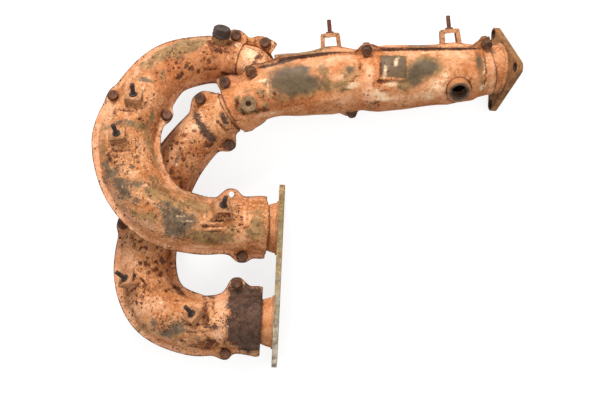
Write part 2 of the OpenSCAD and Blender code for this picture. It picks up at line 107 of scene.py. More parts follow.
def ripple(points: Array, wavelength: float, seed: int, waves: int = 14) -> Array:
    """A smooth random field: the mean of plane waves in random directions and phases.

    Args:
        points: Places, with x, y and z along the last axis, in millimetres.
        wavelength: The middle wavelength, in millimetres. The waves spread a third to each side.
        seed: Picks the directions and phases.
        waves: How many waves are added up.

    Returns:
        Values of about -1 to 1.
    """
    rng = np.random.default_rng(seed)
    turns = unit(rng.normal(size=(waves, 3)))
    lengths = wavelength * rng.uniform(0.7, 1.4, waves)
    phases = rng.uniform(0, 2 * math.pi, waves)
    heights = np.sin(points @ (turns * (2 * math.pi / lengths)[:, None]).T + phases).sum(-1)
    return heights / math.sqrt(waves) / 1.4


def softened(grid: Array, spread: float, axis: int) -> Array:
    """A grid with each line along an axis blurred by a Gaussian, its two ends held.

    Args:
        grid: Values or points, at least one-dimensional.
        spread: The Gaussian's standard deviation, in grid steps.
        axis: The axis to blur along.

    Returns:
        The blurred grid, of the same shape.
    """
    count = grid.shape[axis]
    index = np.arange(count)
    room = np.minimum(index, count - 1 - index)
    reach = np.minimum(spread, room / 2 + 0.01)
    weights = np.exp(-0.5 * ((index[None] - index[:, None]) / reach[:, None]) ** 2)
    weights /= weights.sum(1, keepdims=True)
    return np.moveaxis(np.tensordot(weights, grid, (1, axis)), 0, axis)


def normals_of(grid: Array, ring: bool) -> Array:
    """The unit normals of a grid of points: the cross product of its column and row steps."""
    rows = np.gradient(grid, axis=0)
    if ring:
        columns = (np.roll(grid, -1, 1) - np.roll(grid, 1, 1)) / 2
    else:
        columns = np.gradient(grid, axis=1)
    return unit(np.cross(columns, rows))


# ---------------------------------------------------------------- meshes


def make_piece(name: str, points: Array, faces: list, node: str | None,
               marks: dict[str, Array] | None = None, crease: float = 38.0) -> bpy.types.Object:
    """A mesh object in metres that rides on the part, with its marks as point attributes.

    Args:
        name: The piece's name.
        points: Its points, in millimetres.
        faces: Its faces, as lists of point numbers.
        node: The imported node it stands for, or None.
        marks: One value for each point, by attribute name.
        crease: Edges sharper than this many degrees stay sharp.

    Returns:
        The object.
    """
    mesh = bpy.data.meshes.new(name)
    mesh.from_pydata((points.reshape(-1, 3) * MM).tolist(), [], faces)
    mesh.polygons.foreach_set("use_smooth", np.ones(len(mesh.polygons), bool))
    for key, values in (marks or {}).items():
        store = mesh.attributes.new(key, "FLOAT", "POINT")
        store.data.foreach_set("value", values.astype(np.float32).ravel())
    mesh.update(calc_edges=True)
    mesh.set_sharp_from_angle(angle=math.radians(crease))
    piece = bpy.data.objects.new(name, mesh)
    bpy.context.scene.collection.objects.link(piece)
    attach(piece, "root")
    if node:
        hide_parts(node)
    LOG.info("%s: %d points, %d faces", name, len(mesh.vertices), len(mesh.polygons))
    return piece


def grid_faces(rows: int, columns: int, wrap_rows: bool = False, wrap_columns: bool = True) -> list:
    """Quads over a grid of points, numbered row by row, with closing caps.

    Args:
        rows: Number of rows.
        columns: Number of points in each row.
        wrap_rows: Join the last row to the first.
        wrap_columns: Join the last column to the first.

    Returns:
        Faces that point outwards where columns turn left round the direction of the rows. Where the
        columns are joined and the rows are not, the first and last rows are closed with one face each.
    """
    i, j = np.meshgrid(np.arange(rows if wrap_rows else rows - 1),
                       np.arange(columns if wrap_columns else columns - 1), indexing="ij")
    i, j = i.ravel(), j.ravel()
    up, right = (i + 1) % rows, (j + 1) % columns
    corners = [i * columns + j, i * columns + right, up * columns + right, up * columns + j]
    quads = np.stack(corners, 1).tolist()
    if wrap_columns and not wrap_rows:
        quads.append(list(range(columns - 1, -1, -1)))
        quads.append(list(range((rows - 1) * columns, rows * columns)))
    return quads


def shell_faces(kept: Array, ring: bool) -> list:
    """Faces of a wall between two like grids of points: two skins, and a rim round every opening.

    Args:
        kept: Which cells of the grid are there, one value for each cell.
        ring: Whether the last column of cells meets the first.

    Returns:
        Faces over the outer grid's points, then the inner grid's.
    """
    rows, cells = kept.shape
    columns = cells if ring else cells + 1
    inner = (rows + 1) * columns
    around = np.pad(kept, ((1, 1), (0, 0) if ring else (1, 1)))
    middle = slice(1, rows + 1)
    across = slice(None) if ring else slice(1, cells + 1)

    def corner(i: Array, j: Array) -> Array:
        """The number of a grid point on the outer skin."""
        return i * columns + j % columns

    i, j = np.nonzero(kept)
    skin = np.stack([corner(i, j), corner(i, j + 1), corner(i + 1, j + 1), corner(i + 1, j)], 1)
    parts = [skin, skin[:, ::-1] + inner]
    sides = (((-1, 0), (0, 0), (0, 1)), ((0, 1), (0, 1), (1, 1)),
             ((1, 0), (1, 1), (1, 0)), ((0, -1), (1, 0), (0, 0)))
    for (di, dj), a, b in sides:
        beyond = np.roll(around, (-di, -dj), (0, 1))[middle, across]
        i, j = np.nonzero(kept & ~beyond)
        first, second = corner(i + a[0], j + a[1]), corner(i + b[0], j + b[1])
        parts.append(np.stack([second, first, first + inner, second + inner], 1))
    return np.concatenate(parts).tolist()


@dataclass(frozen=True)
class Axes:
    """A place and the directions of its own x, y and z."""

    origin: Array
    x: Array
    z: Array

    def put(self, local: Array) -> Array:
        """Points given along the axes, in the part's frame."""
        y = np.cross(self.z, self.x)
        return self.origin + local[..., :1] * self.x + local[..., 1:2] * y + local[..., 2:] * self.z

    def moved(self, z: float) -> "Axes":
        """The same axes, further along z."""
        return Axes(self.origin + self.z * z, self.x, self.z)

    def polar(self, points: Array) -> tuple[Array, Array, Array]:
        """Each point's distance from the z axis, its way out from that axis, and its height along it."""
        away = points - self.origin
        level = away @ self.z
        flat = away - level[..., None] * self.z
        return np.linalg.norm(flat, axis=-1), flat, level


@dataclass(frozen=True)
class Hole:
    """A round hole through a skin: its axes, its radius, and how far along its axis it cuts each way."""

    axes: Axes
    radius: float
    reach: float = 14.0


def pierced(grid: Array, holes: list[Hole], ring: bool) -> tuple[Array, Array]:
    """Cuts round holes in a grid: cells inside are dropped, and points beside the cut move onto its circle.

    Args:
        grid: A skin's points.
        holes: The holes to cut.
        ring: Whether the last column meets the first.

    Returns:
        Which cells are kept, and the moved grid.
    """
    closed = np.concatenate([grid, grid[:, :1]], 1) if ring else grid
    cells = (closed[:-1, :-1] + closed[1:, 1:] + closed[1:, :-1] + closed[:-1, 1:]) / 4
    kept = np.ones(cells.shape[:2], bool)
    moved = grid.copy()
    for hole in holes:
        distance, _, level = hole.axes.polar(cells)
        gone = (distance < hole.radius) & (np.abs(level) < hole.reach)
        kept &= ~gone
        around = np.pad(gone, ((1, 1), (0, 0) if ring else (1, 1)))
        before = np.roll(around, 1, 1) if ring else around[:, :-1]
        after = around if ring else around[:, 1:]
        touch = before[:-1] | before[1:] | after[:-1] | after[1:]
        inside = before[:-1] & before[1:] & after[:-1] & after[1:]
        distance, flat, _ = hole.axes.polar(moved)
        shift = flat * ((hole.radius - distance) / np.maximum(distance, 1e-6))[..., None]
        moved = np.where((touch & ~inside)[..., None], moved + shift, moved)
    return kept, moved


def turned(profile: list, sides: int, axes: Axes, flats: float = 0.0, wrap: bool = False,
           rough: float = 0.0, seed: int = 1) -> tuple[Array, list]:
    """A turned solid: at each angle and each row of the profile, a point at that radius and height.

    Rows with a third value of 1 are cut to a hexagon: their radius is the smaller of the row's own
    and half the width across the flats over the cosine of the angle from the nearest flat.

    Args:
        profile: Rows of radius, height and whether the row is hexagonal.
        sides: Points round the axis.
        axes: Where it stands, with its axis along z.
        flats: The hexagon's width across its flats.
        wrap: Whether the profile closes on itself, as a ring's does.
        rough: How far rust moves the surface, in millimetres.
        seed: Picks the roughness.

    Returns:
        The points and the faces.
    """
    rows = np.array(profile, float)
    angle = np.arange(sides) * 2 * math.pi / sides
    folded = np.mod(angle + math.pi / 6, math.pi / 3) - math.pi / 6
    radius = np.repeat(rows[:, :1], sides, 1)
    if flats:
        cut = flats / 2 / np.cos(folded)[None]
        radius = np.where(rows[:, 2:3] > 0, np.minimum(radius, cut), radius)
    local = np.stack([radius * np.cos(angle), radius * np.sin(angle), np.repeat(rows[:, 1:2], sides, 1)], -1)
    points = axes.put(local)
    if rough:
        away = local * [1, 1, 0]
        away = axes.put(away / np.maximum(np.linalg.norm(away, axis=-1, keepdims=True), 1e-6)) - axes.origin
        points = points + away * (rough * ripple(points, 2.4, seed) * np.minimum(1, radius / 2))[..., None]
    return points, grid_faces(len(rows), sides, wrap_rows=wrap)


# ---------------------------------------------------------------- shader groups and finishes


def tint(code: str) -> tuple[float, float, float, float]:
    """A colour written as six hexadecimal digits, as linear light with full alpha."""
    shown = np.array([int(code[k:k + 2], 16) / 255 for k in (0, 2, 4)])
    linear = np.where(shown <= 0.04045, shown / 12.92, ((shown + 0.055) / 1.055) ** 2.4)
    return (*linear.tolist(), 1.0)


class Graph:
    """A node tree that is being put together."""

    def __init__(self, tree: bpy.types.NodeTree) -> None:
        """Starts from an empty tree.

        Args:
            tree: The tree to fill.
        """
        self.tree = tree
        tree.nodes.clear()

    def node(self, kind: str, values: dict | None = None, **settings: object) -> bpy.types.Node:
        """Adds a node, with its settings and its inputs.

        Args:
            kind: Blender's name of the node.
            values: A socket to link from, or a constant, for each input, by name or number.
            **settings: Properties of the node itself.

        Returns:
            The node.
        """
        made = self.tree.nodes.new(kind)
        for key, value in settings.items():
            setattr(made, key, value)
        for key, value in (values or {}).items():
            if isinstance(value, Socket):
                self.tree.links.new(value, made.inputs[key])
            else:
                made.inputs[key].default_value = value
        return made

    def math(self, operation: str, a: Socket | float, b: Socket | float = 0.0, clamp: bool = False) -> Socket:
        """The result of one sum on two numbers."""
        return self.node("ShaderNodeMath", {0: a, 1: b}, operation=operation, use_clamp=clamp).outputs[0]

    def plus(self, a: Socket | float, b: Socket | float) -> Socket:
        """The sum of two numbers."""
        return self.math("ADD", a, b)

    def times(self, a: Socket | float, b: Socket | float) -> Socket:
        """The product of two numbers."""
        return self.math("MULTIPLY", a, b)

    def ramp(self, value: Socket, low: float, high: float, top: float = 1.0) -> Socket:
        """A smooth step from 0 at low to top at high."""
        made = self.node("ShaderNodeMapRange", {0: value, 1: low, 2: high, 3: 0.0, 4: top},
                         interpolation_type="SMOOTHSTEP")
        return made.outputs[0]

    def noise(self, where: Socket, scale: Socket | float, detail: float = 5.0, rough: float = 0.6) -> Socket:
        """A noise between 0 and 1 at a place."""
        values = {"Vector": where, "Scale": scale, "Detail": detail, "Roughness": rough}
        return self.node("ShaderNodeTexNoise", values).outputs["Fac"]

    def mix(self, amount: Socket | float, a: Socket | tuple, b: Socket | tuple, way: str = "MIX") -> Socket:
        """Two colours blended by an amount."""
        values = {0: amount, 6: a, 7: b}
        return self.node("ShaderNodeMix", values, data_type="RGBA", blend_type=way).outputs[2]

    def group(self, tree: bpy.types.NodeTree, values: dict) -> bpy.types.Node:
        """Places a node group with its own values."""
        return self.node("ShaderNodeGroup", values, node_tree=tree)

    def link(self, value: Socket, node: bpy.types.Node, key: str | int) -> None:
        """Joins a socket to a node's input."""
        self.tree.links.new(value, node.inputs[key])


def new_group(name: str, inputs: dict[str, str],
              outputs: dict[str, str]) -> tuple[Graph, bpy.types.Node, bpy.types.Node]:
    """An empty shader group with named sockets.

    Args:
        name: The group's name.
        inputs: Socket types by name.
        outputs: Socket types by name.

    Returns:
        The graph, the group's input node and its output node.
    """
    tree = bpy.data.node_groups.new(name, "ShaderNodeTree")
    for direction, sockets in (("INPUT", inputs), ("OUTPUT", outputs)):
        for key, kind in sockets.items():
            tree.interface.new_socket(key, in_out=direction, socket_type="NodeSocket" + kind)
    graph = Graph(tree)
    return graph, graph.node("NodeGroupInput"), graph.node("NodeGroupOutput")


class Effects:
    """The shader groups that several finishes share, each built once."""

    def __init__(self) -> None:
        """Builds every group."""
        self.mottle = self._mottle()
        self.pits = self._pits()
        self.ragged = self._ragged()
        self.bore = self._bore()

    @staticmethod
    def _mottle() -> bpy.types.NodeTree:
        """Rust in three tones: broad clouds of pale and warm, blots of deep, and a fine grain."""
        graph, given, out = new_group(
            "mottled_rust",
            {"Place": "Vector", "Scale": "Float", "Pale": "Color", "Warm": "Color", "Deep": "Color",
             "Flake": "Color"},
            {"Color": "Color", "Height": "Float", "Tone": "Float"})
        place, scale = given.outputs["Place"], given.outputs["Scale"]
        clouds = graph.noise(place, scale, 6.0, 0.62)
        blots = graph.noise(place, graph.times(scale, 3.7), 7.0, 0.7)
        grain = graph.noise(place, graph.times(scale, 26.0), 3.0, 0.65)
        base = graph.mix(graph.ramp(clouds, 0.40, 0.62), given.outputs["Pale"], given.outputs["Warm"])
        base = graph.mix(graph.ramp(blots, 0.50, 0.70, 0.80), base, given.outputs["Deep"])
        flecks = graph.noise(place, graph.times(scale, 9.0), 6.0, 0.75)
        base = graph.mix(graph.ramp(flecks, 0.53, 0.66, 0.85), base, given.outputs["Deep"])
        base = graph.mix(graph.ramp(flecks, 0.46, 0.36, 0.75), base, given.outputs["Flake"])
        light = graph.node("ShaderNodeCombineColor", {k: graph.plus(grain, 0.5) for k in range(3)})
        base = graph.mix(0.5, base, light.outputs[0], "MULTIPLY")
        height = graph.plus(graph.times(blots, 0.6), graph.times(grain, 0.35))
        graph.link(base, out, "Color")
        graph.link(height, out, "Height")
        graph.link(blots, out, "Tone")
        return graph.tree

    @staticmethod
    def _pits() -> bpy.types.NodeTree:
        """Torn pits of random size: bent cells near their centres, where a slow noise lets them be."""
        graph, given, out = new_group("pits", {"Place": "Vector", "Scale": "Float", "Amount": "Float"},
                                      {"Mask": "Float", "Height": "Float"})
        place, scale = given.outputs["Place"], given.outputs["Scale"]
        wobble = graph.node("ShaderNodeTexNoise", {
            "Vector": place, "Scale": graph.times(scale, 1.7), "Detail": 5.0, "Roughness": 0.7})
        reach = graph.math("DIVIDE", 1.1, scale)
        bent = graph.node("ShaderNodeVectorMath", {0: wobble.outputs["Color"], 3: reach}, operation="SCALE")
        moved = graph.node("ShaderNodeVectorMath", {0: place, 1: bent.outputs[0]}, operation="ADD")
        cells = graph.node("ShaderNodeTexVoronoi", {"Vector": moved.outputs[0], "Scale": scale})
        chance = graph.node("ShaderNodeSeparateColor", {0: cells.outputs["Color"]})
        slow = graph.noise(place, graph.times(scale, 0.14), 2.0)
        open_here = graph.times(graph.ramp(slow, 0.34, 0.62), given.outputs["Amount"])
        radius = graph.times(chance.outputs[0], open_here)
        away = graph.math("SUBTRACT", graph.times(radius, 0.62), cells.outputs["Distance"])
        crumb = graph.noise(place, graph.times(scale, 5.0), 4.0, 0.7)
        away = graph.plus(away, graph.times(graph.math("SUBTRACT", crumb, 0.5), 0.30))
        mask = graph.ramp(away, -0.03, 0.09)
        graph.link(mask, out, "Mask")
        graph.link(graph.times(mask, -1.0), out, "Height")
        return graph.tree

    @staticmethod
    def _bore() -> bpy.types.NodeTree:
        """Painted shade and soot in and round a bore: darkness by distance from the bore's axis, faded out
        past its radius.
        """
        graph, given, out = new_group("soot_and_shade_bore", {"Place": "Vector", "Centre": "Vector", "Axis": "Vector",
                                                     "Radius": "Float"}, {"Mask": "Float"})
        away = graph.node("ShaderNodeVectorMath", {0: given.outputs["Place"], 1: given.outputs["Centre"]},
                          operation="SUBTRACT").outputs[0]
        square = graph.node("ShaderNodeVectorMath", {0: away, 1: given.outputs["Axis"]},
                            operation="CROSS_PRODUCT").outputs[0]
        reach = graph.node("ShaderNodeVectorMath", {0: square}, operation="LENGTH").outputs["Value"]
        crumb = graph.noise(given.outputs["Place"], 700.0, 4.0)
        edge = graph.plus(given.outputs["Radius"], graph.times(crumb, 0.0024))
        mask = graph.math("DIVIDE", graph.math("SUBTRACT", edge, reach), 0.0009, clamp=True)
        graph.link(mask, out, "Mask")
        return graph.tree

    @staticmethod
    def _ragged() -> bpy.types.NodeTree:
        """A painted field given a torn edge: noise is added before a steep step."""
        graph, given, out = new_group("ragged_patch", {"Place": "Vector", "Field": "Float", "Scale": "Float",
                                                       "Rag": "Float"}, {"Mask": "Float"})
        place = given.outputs["Place"]
        tear = graph.noise(place, given.outputs["Scale"], 9.0, 0.74)
        fine = graph.noise(place, graph.times(given.outputs["Scale"], 4.3), 5.0, 0.7)
        swing = graph.times(graph.math("SUBTRACT", tear, 0.5), 2.6)
        swing = graph.plus(swing, graph.times(graph.math("SUBTRACT", fine, 0.5), 1.9))
        swing = graph.times(swing, given.outputs["Rag"])
        mask = graph.ramp(graph.plus(given.outputs["Field"], swing), 0.15, 0.95)
        present = graph.ramp(given.outputs["Field"], 0.02, 0.30)
        graph.link(graph.times(mask, present), out, "Mask")
        return graph.tree


@dataclass(frozen=True)
class Bore:
    """A bore darkened with painted shade and soot, in millimetres: its middle, its axis and its radius."""

    centre: tuple[float, ...]
    axis: tuple[float, ...]
    radius: float


@dataclass(frozen=True)
class RustFinish:
    """Rusted steel in three tones with pits. Its marks, if any, are painted on the mesh."""

    name: str
    pale: str
    warm: str
    deep: str
    flake: str = "F0B888"
    scale: float = 34.0
    pit_scale: float = 420.0
    pit_amount: float = 0.55
    pit_colour: str = "4A2616"
    scab_scale: float = 165.0
    scab_amount: float = 0.25
    roughness: float = 0.78
    metallic: float = 0.0
    bump: float = 0.5
    marked: bool = False
    bores: tuple[Bore, ...] = ()
    soot_and_shade: str = "241712"

    def build(self, effects: Effects) -> bpy.types.Material:
        """Makes the material.

        Args:
            effects: The shared shader groups.

        Returns:
            The material.
        """
        material = bpy.data.materials.new(self.name)
        material.use_nodes = True
        graph = Graph(material.node_tree)
        place = graph.node("ShaderNodeTexCoord").outputs["Object"]
        tones = {"Pale": tint(self.pale), "Warm": tint(self.warm), "Deep": tint(self.deep),
                 "Flake": tint(self.flake)}
        rust = graph.group(effects.mottle, {"Place": place, "Scale": self.scale, **tones})
        pits, scabs = (graph.group(effects.pits, {"Place": place, "Scale": scale, "Amount": amount})
                       for scale, amount in ((self.pit_scale, self.pit_amount),
                                             (self.scab_scale, self.scab_amount)))
        colour = rust.outputs["Color"]
        spread = {0: rust.outputs["Tone"], 1: 0.3, 2: 0.7, 3: self.roughness - 0.1, 4: self.roughness + 0.1}
        rough = graph.node("ShaderNodeMapRange", spread).outputs[0]
        if self.marked:
            colour, rough = self._marks(graph, effects, place, colour, rough)
            speck = graph.node("ShaderNodeAttribute", attribute_name=Mark.SPECK.value.key).outputs["Fac"]
            graph.link(graph.plus(speck, self.scab_amount), scabs, "Amount")
        scab_tone = graph.mix(rust.outputs["Tone"], tint(Mark.SPECK.value.dark), tint(Mark.SPECK.value.light))
        colour = graph.mix(graph.times(scabs.outputs["Mask"], 0.88), colour, scab_tone)
        colour = graph.mix(graph.times(pits.outputs["Mask"], 0.8), colour, tint(self.pit_colour))
        # Painted shade and soot: each bore darkens the colour in and round it.
        for bore in self.bores:
            soot_and_shade = graph.group(effects.bore, {
                "Place": place, "Centre": tuple(MM * c for c in bore.centre), "Axis": bore.axis,
                "Radius": MM * bore.radius})
            colour = graph.mix(graph.times(soot_and_shade.outputs["Mask"], 0.85), colour, tint(self.soot_and_shade))
        height = graph.plus(rust.outputs["Height"], graph.times(pits.outputs["Height"], 0.7))
        height = graph.plus(height, graph.times(scabs.outputs["Height"], 0.9))
        bump = graph.node("ShaderNodeBump", {"Strength": self.bump, "Distance": 0.0006, "Height": height})
        shader = graph.node("ShaderNodeBsdfPrincipled", {
            "Base Color": colour, "Roughness": rough, "Metallic": self.metallic,
            "Specular IOR Level": 0.35, "Normal": bump.outputs[0]})
        out = graph.node("ShaderNodeOutputMaterial")
        graph.link(shader.outputs[0], out, 0)
        return material

    @staticmethod
    def _marks(graph: Graph, effects: Effects, place: Socket, colour: Socket,
               rough: Socket) -> tuple[Socket, Socket]:
        """Lays the painted marks over the rust, each with a torn edge.

        Args:
            graph: The material's graph.
            effects: The shared shader groups.
            place: Object coordinates.
            colour: The rust so far.
            rough: The roughness so far.

        Returns:
            The colour and the roughness with the marks.
        """
        for mark in (each for each in Mark if each.value.cover > 0):
            look = mark.value
            field_here = graph.node("ShaderNodeAttribute", attribute_name=look.key).outputs["Fac"]
            torn = graph.group(effects.ragged, {"Place": place, "Field": field_here, "Scale": look.tear,
                                               "Rag": look.rag})
            amount = graph.times(torn.outputs["Mask"], look.cover)
            swirl = graph.ramp(graph.noise(place, 130.0, 8.0, 0.72), 0.36, 0.64)
            tone = graph.mix(swirl, tint(look.light), tint(look.dark))
            colour = graph.mix(amount, colour, tone)
            rough = graph.node("ShaderNodeMix", {0: amount, 2: rough, 3: look.roughness}).outputs[0]
        return colour, rough


@dataclass(frozen=True)
class MarkLook:
    """How a painted mark looks: two colours, the scale and depth of its torn edge, cover, roughness."""

    key: str
    light: str
    dark: str
    tear: float
    cover: float
    roughness: float
    rag: float = 1.0


class Mark(Enum):
    """The marks that a shield may carry, in the order they are laid on."""

    RUSSET = MarkLook("russet", "C06C34", "8C441E", 60.0, 0.60, 0.75)
    # PALE is pale rust and also painted highlight along lit rims, lips and ridges.
    PALE = MarkLook("pale", "FFC8A0", "E0996A", 90.0, 0.72, 0.85)
    OLIVE = MarkLook("olive", "9C7E4C", "5E4829", 75.0, 0.80, 0.60)
    STAIN = MarkLook("stain", "605139", "4A3E2C", 60.0, 0.90, 0.50, 0.35)
    SLATE = MarkLook("slate", "74664F", "3C352A", 95.0, 0.88, 0.55, 1.25)
    # CREAM is light scale and also painted highlight on ridges and on the edges of crumples.
    CREAM = MarkLook("cream_and_highlight", "FFE0B8", "EAB482", 240.0, 0.92, 0.90, 1.4)
    # SCORCH is heat scorch and also painted shadow in the seam's gap, in recesses beside brackets and in
    # bores.
    SCORCH = MarkLook("scorch_and_shade", "5A4032", "281C16", 85.0, 0.94, 0.70, 1.2)
    # EMBER is dark pits and also painted shade in dents, creases and grooves beside the brackets and the
    # sensor ring.
    EMBER = MarkLook("ember_and_shade", "7E3F1C", "3A1A0C", 260.0, 0.94, 0.85, 1.3)
    # BARE is bare steel and also a painted highlight, on the head flange's low end.
    BARE = MarkLook("bare_and_highlight", "CFC4B0", "6E6252", 120.0, 0.90, 0.35)
    # EDGE is dark rust on sheet edges and also painted shadow in the gaps beside them.
    EDGE = MarkLook("edge", "4A2E1E", "2A1A12", 160.0, 0.85, 0.80)
    SPECK = MarkLook("speck", "7A3D1C", "3E1D0E", 150.0, 0.0, 0.85)


class Finishes:
    """Every material of the part, built from the shared effects."""

    # Radii of the bores darkened with painted shade and soot.
    outlet_hole_shade: float = 4.9
    port_soot_and_shade: float = 25.6

    def __init__(self, layout: "Layout") -> None:
        """Builds the materials.

        Args:
            layout: The part's sizes, for the bores that are darkened with painted shade and soot.
        """
        effects = Effects()
        up = unit(np.cross(layout.outlet_axis, ALONG_PORTS))
        holes = [layout.outlet + layout.outlet_pitch * (math.cos(t) * ALONG_PORTS + math.sin(t) * up)
                 for t in np.radians([90.0, 210.0, 330.0])]
        axis = tuple(layout.outlet_axis.tolist())
        outlet_bores = tuple(Bore(tuple(hole.tolist()), axis, self.outlet_hole_shade) for hole in holes)
        ports = tuple(Bore((0.0, y, 0.0), (1.0, 0.0, 0.0), self.port_soot_and_shade)
                      for y in (layout.port_spacing / 2, -layout.port_spacing / 2))
        looks = {
            "shield": RustFinish("shield_rust", "DA9864", "C47840", "884820", "F6CAA4", pit_amount=0.85,
                                 bump=1.3, marked=True),
            "cover": RustFinish("collector_shield_rust", "DA9664", "C2743E", "94562A", "E6AC80", scale=26.0,
                                pit_amount=0.25, bump=0.7, marked=True),
            "pipe": RustFinish("pipe_rust", "E09C68", "CA7A46", "955228", "F0BC90", scale=46.0, marked=True),
            "ring": RustFinish("sensor_ring_rust", "C4804E", "A46A42", "64462F", "C89A70", scale=60.0,
                               roughness=0.62, marked=True),
            "weld": RustFinish("weld_rust", "CC8E5E", "A86C42", "6B4029", scale=90.0, roughness=0.7),
            "head": RustFinish("head_flange_rust", "B4925E", "927648", "6A5034", "C8AC78", scale=40.0,
                               roughness=0.55, pit_amount=0.35, metallic=0.15, marked=True,
                               bores=ports),
            "outlet": RustFinish("outlet_flange_rust", "A87446", "7E5430", "46301E", "B98858", scale=60.0,
                                 pit_scale=330.0, bump=0.8, bores=outlet_bores),
            "bracket": RustFinish("bracket_rust", "CC9064", "A26C42", "55361F", "E0AA80", scale=75.0,
                                  pit_scale=520.0),
            "plate": RustFinish("weld_nut_rust", "9A7854", "7E6042", "54402A", "B08C64", scale=75.0),
            "bolt": RustFinish("bolt_scale", "744A30", "4A3024", "281A14", "9C6640", scale=120.0,
                               scab_amount=0.0, pit_amount=0.3, pit_colour="1C1310", roughness=0.62,
                               bump=0.9),
            "red_stud": RustFinish("red_stud_rust", "7A4630", "5C3424", "38211A", "9A5E42", scale=150.0,
                                   scab_amount=0.0, pit_colour="1C1310", roughness=0.6),
            "stud": RustFinish("stud_scale", "46322A", "30241E", "1A1412", "6A4A38", scale=150.0,
                               scab_amount=0.0, pit_colour="1C1310", roughness=0.55),
        }
        self.materials = {key: look.build(effects) for key, look in looks.items()}

    def dress(self, piece: bpy.types.Object, key: str) -> bpy.types.Object:
        """Gives a piece one of the finishes.

        Args:
            piece: The object.
            key: Which finish.

        Returns:
            The same object.
        """
        piece.data.materials.clear()
        piece.data.materials.append(self.materials[key])
        return piece


# ---------------------------------------------------------------- routes


@dataclass(frozen=True)
class Route:
    """A smooth curve through all but the first and last of its points, which only turn its ends."""

    points: Array

    @property
    def length(self) -> float:
        """The place of the curve's end. Its start is 0 and each point adds 1."""
        return len(self.points) - 3.0

    def _cell(self, u: Array) -> tuple[Array, tuple[Array, ...]]:
        """The share along a cell and the four points around it, for each place."""
        i = np.clip(np.floor(u).astype(int), 0, len(self.points) - 4)
        return (u - i)[..., None], tuple(self.points[i + k] for k in range(4))

    def at(self, u: Array) -> Array:
        """Points on the curve: the Catmull-Rom cubic of the four points around each place."""
        t, (a, b, c, d) = self._cell(np.asarray(u, float))
        square, cube = 2 * a - 5 * b + 4 * c - d, 3 * b - a - 3 * c + d
        return (2 * b + (c - a) * t + square * t ** 2 + cube * t ** 3) / 2

    def along(self, u: Array) -> Array:
        """Unit directions of travel: the cubic's slope."""
        t, (a, b, c, d) = self._cell(np.asarray(u, float))
        square, cube = 2 * a - 5 * b + 4 * c - d, 3 * b - a - 3 * c + d
        return unit(c - a + 2 * square * t + 3 * cube * t ** 2)

    def even(self, start: float, end: float, step: float) -> Array:
        """Places spread evenly by distance.

        Args:
            start: The first place.
            end: The last place.
            step: The distance between them, in millimetres.

        Returns:
            The places, with both ends.
        """
        fine = np.linspace(start, end, 2000)
        run = np.concatenate([[0], np.cumsum(np.linalg.norm(np.diff(self.at(fine), axis=0), axis=1))])
        return np.interp(np.linspace(0, run[-1], max(2, int(run[-1] / step) + 1)), run, fine)


def stations(centres: Array, travel: Array, roll: Array | float = 0.0) -> tuple[Array, Array, Array]:
    """Centres with their side and front directions.

    side is level and points left of the direction of travel, front points up, and roll turns both.
    """
    side = unit(np.cross([0.0, 0.0, 1.0], travel))
    front = np.cross(travel, side)
    c = np.cos(np.radians(roll))[..., None] if np.ndim(roll) else math.cos(math.radians(roll))
    s = np.sin(np.radians(roll))[..., None] if np.ndim(roll) else math.sin(math.radians(roll))
    return centres, side * c + front * s, front * c - side * s


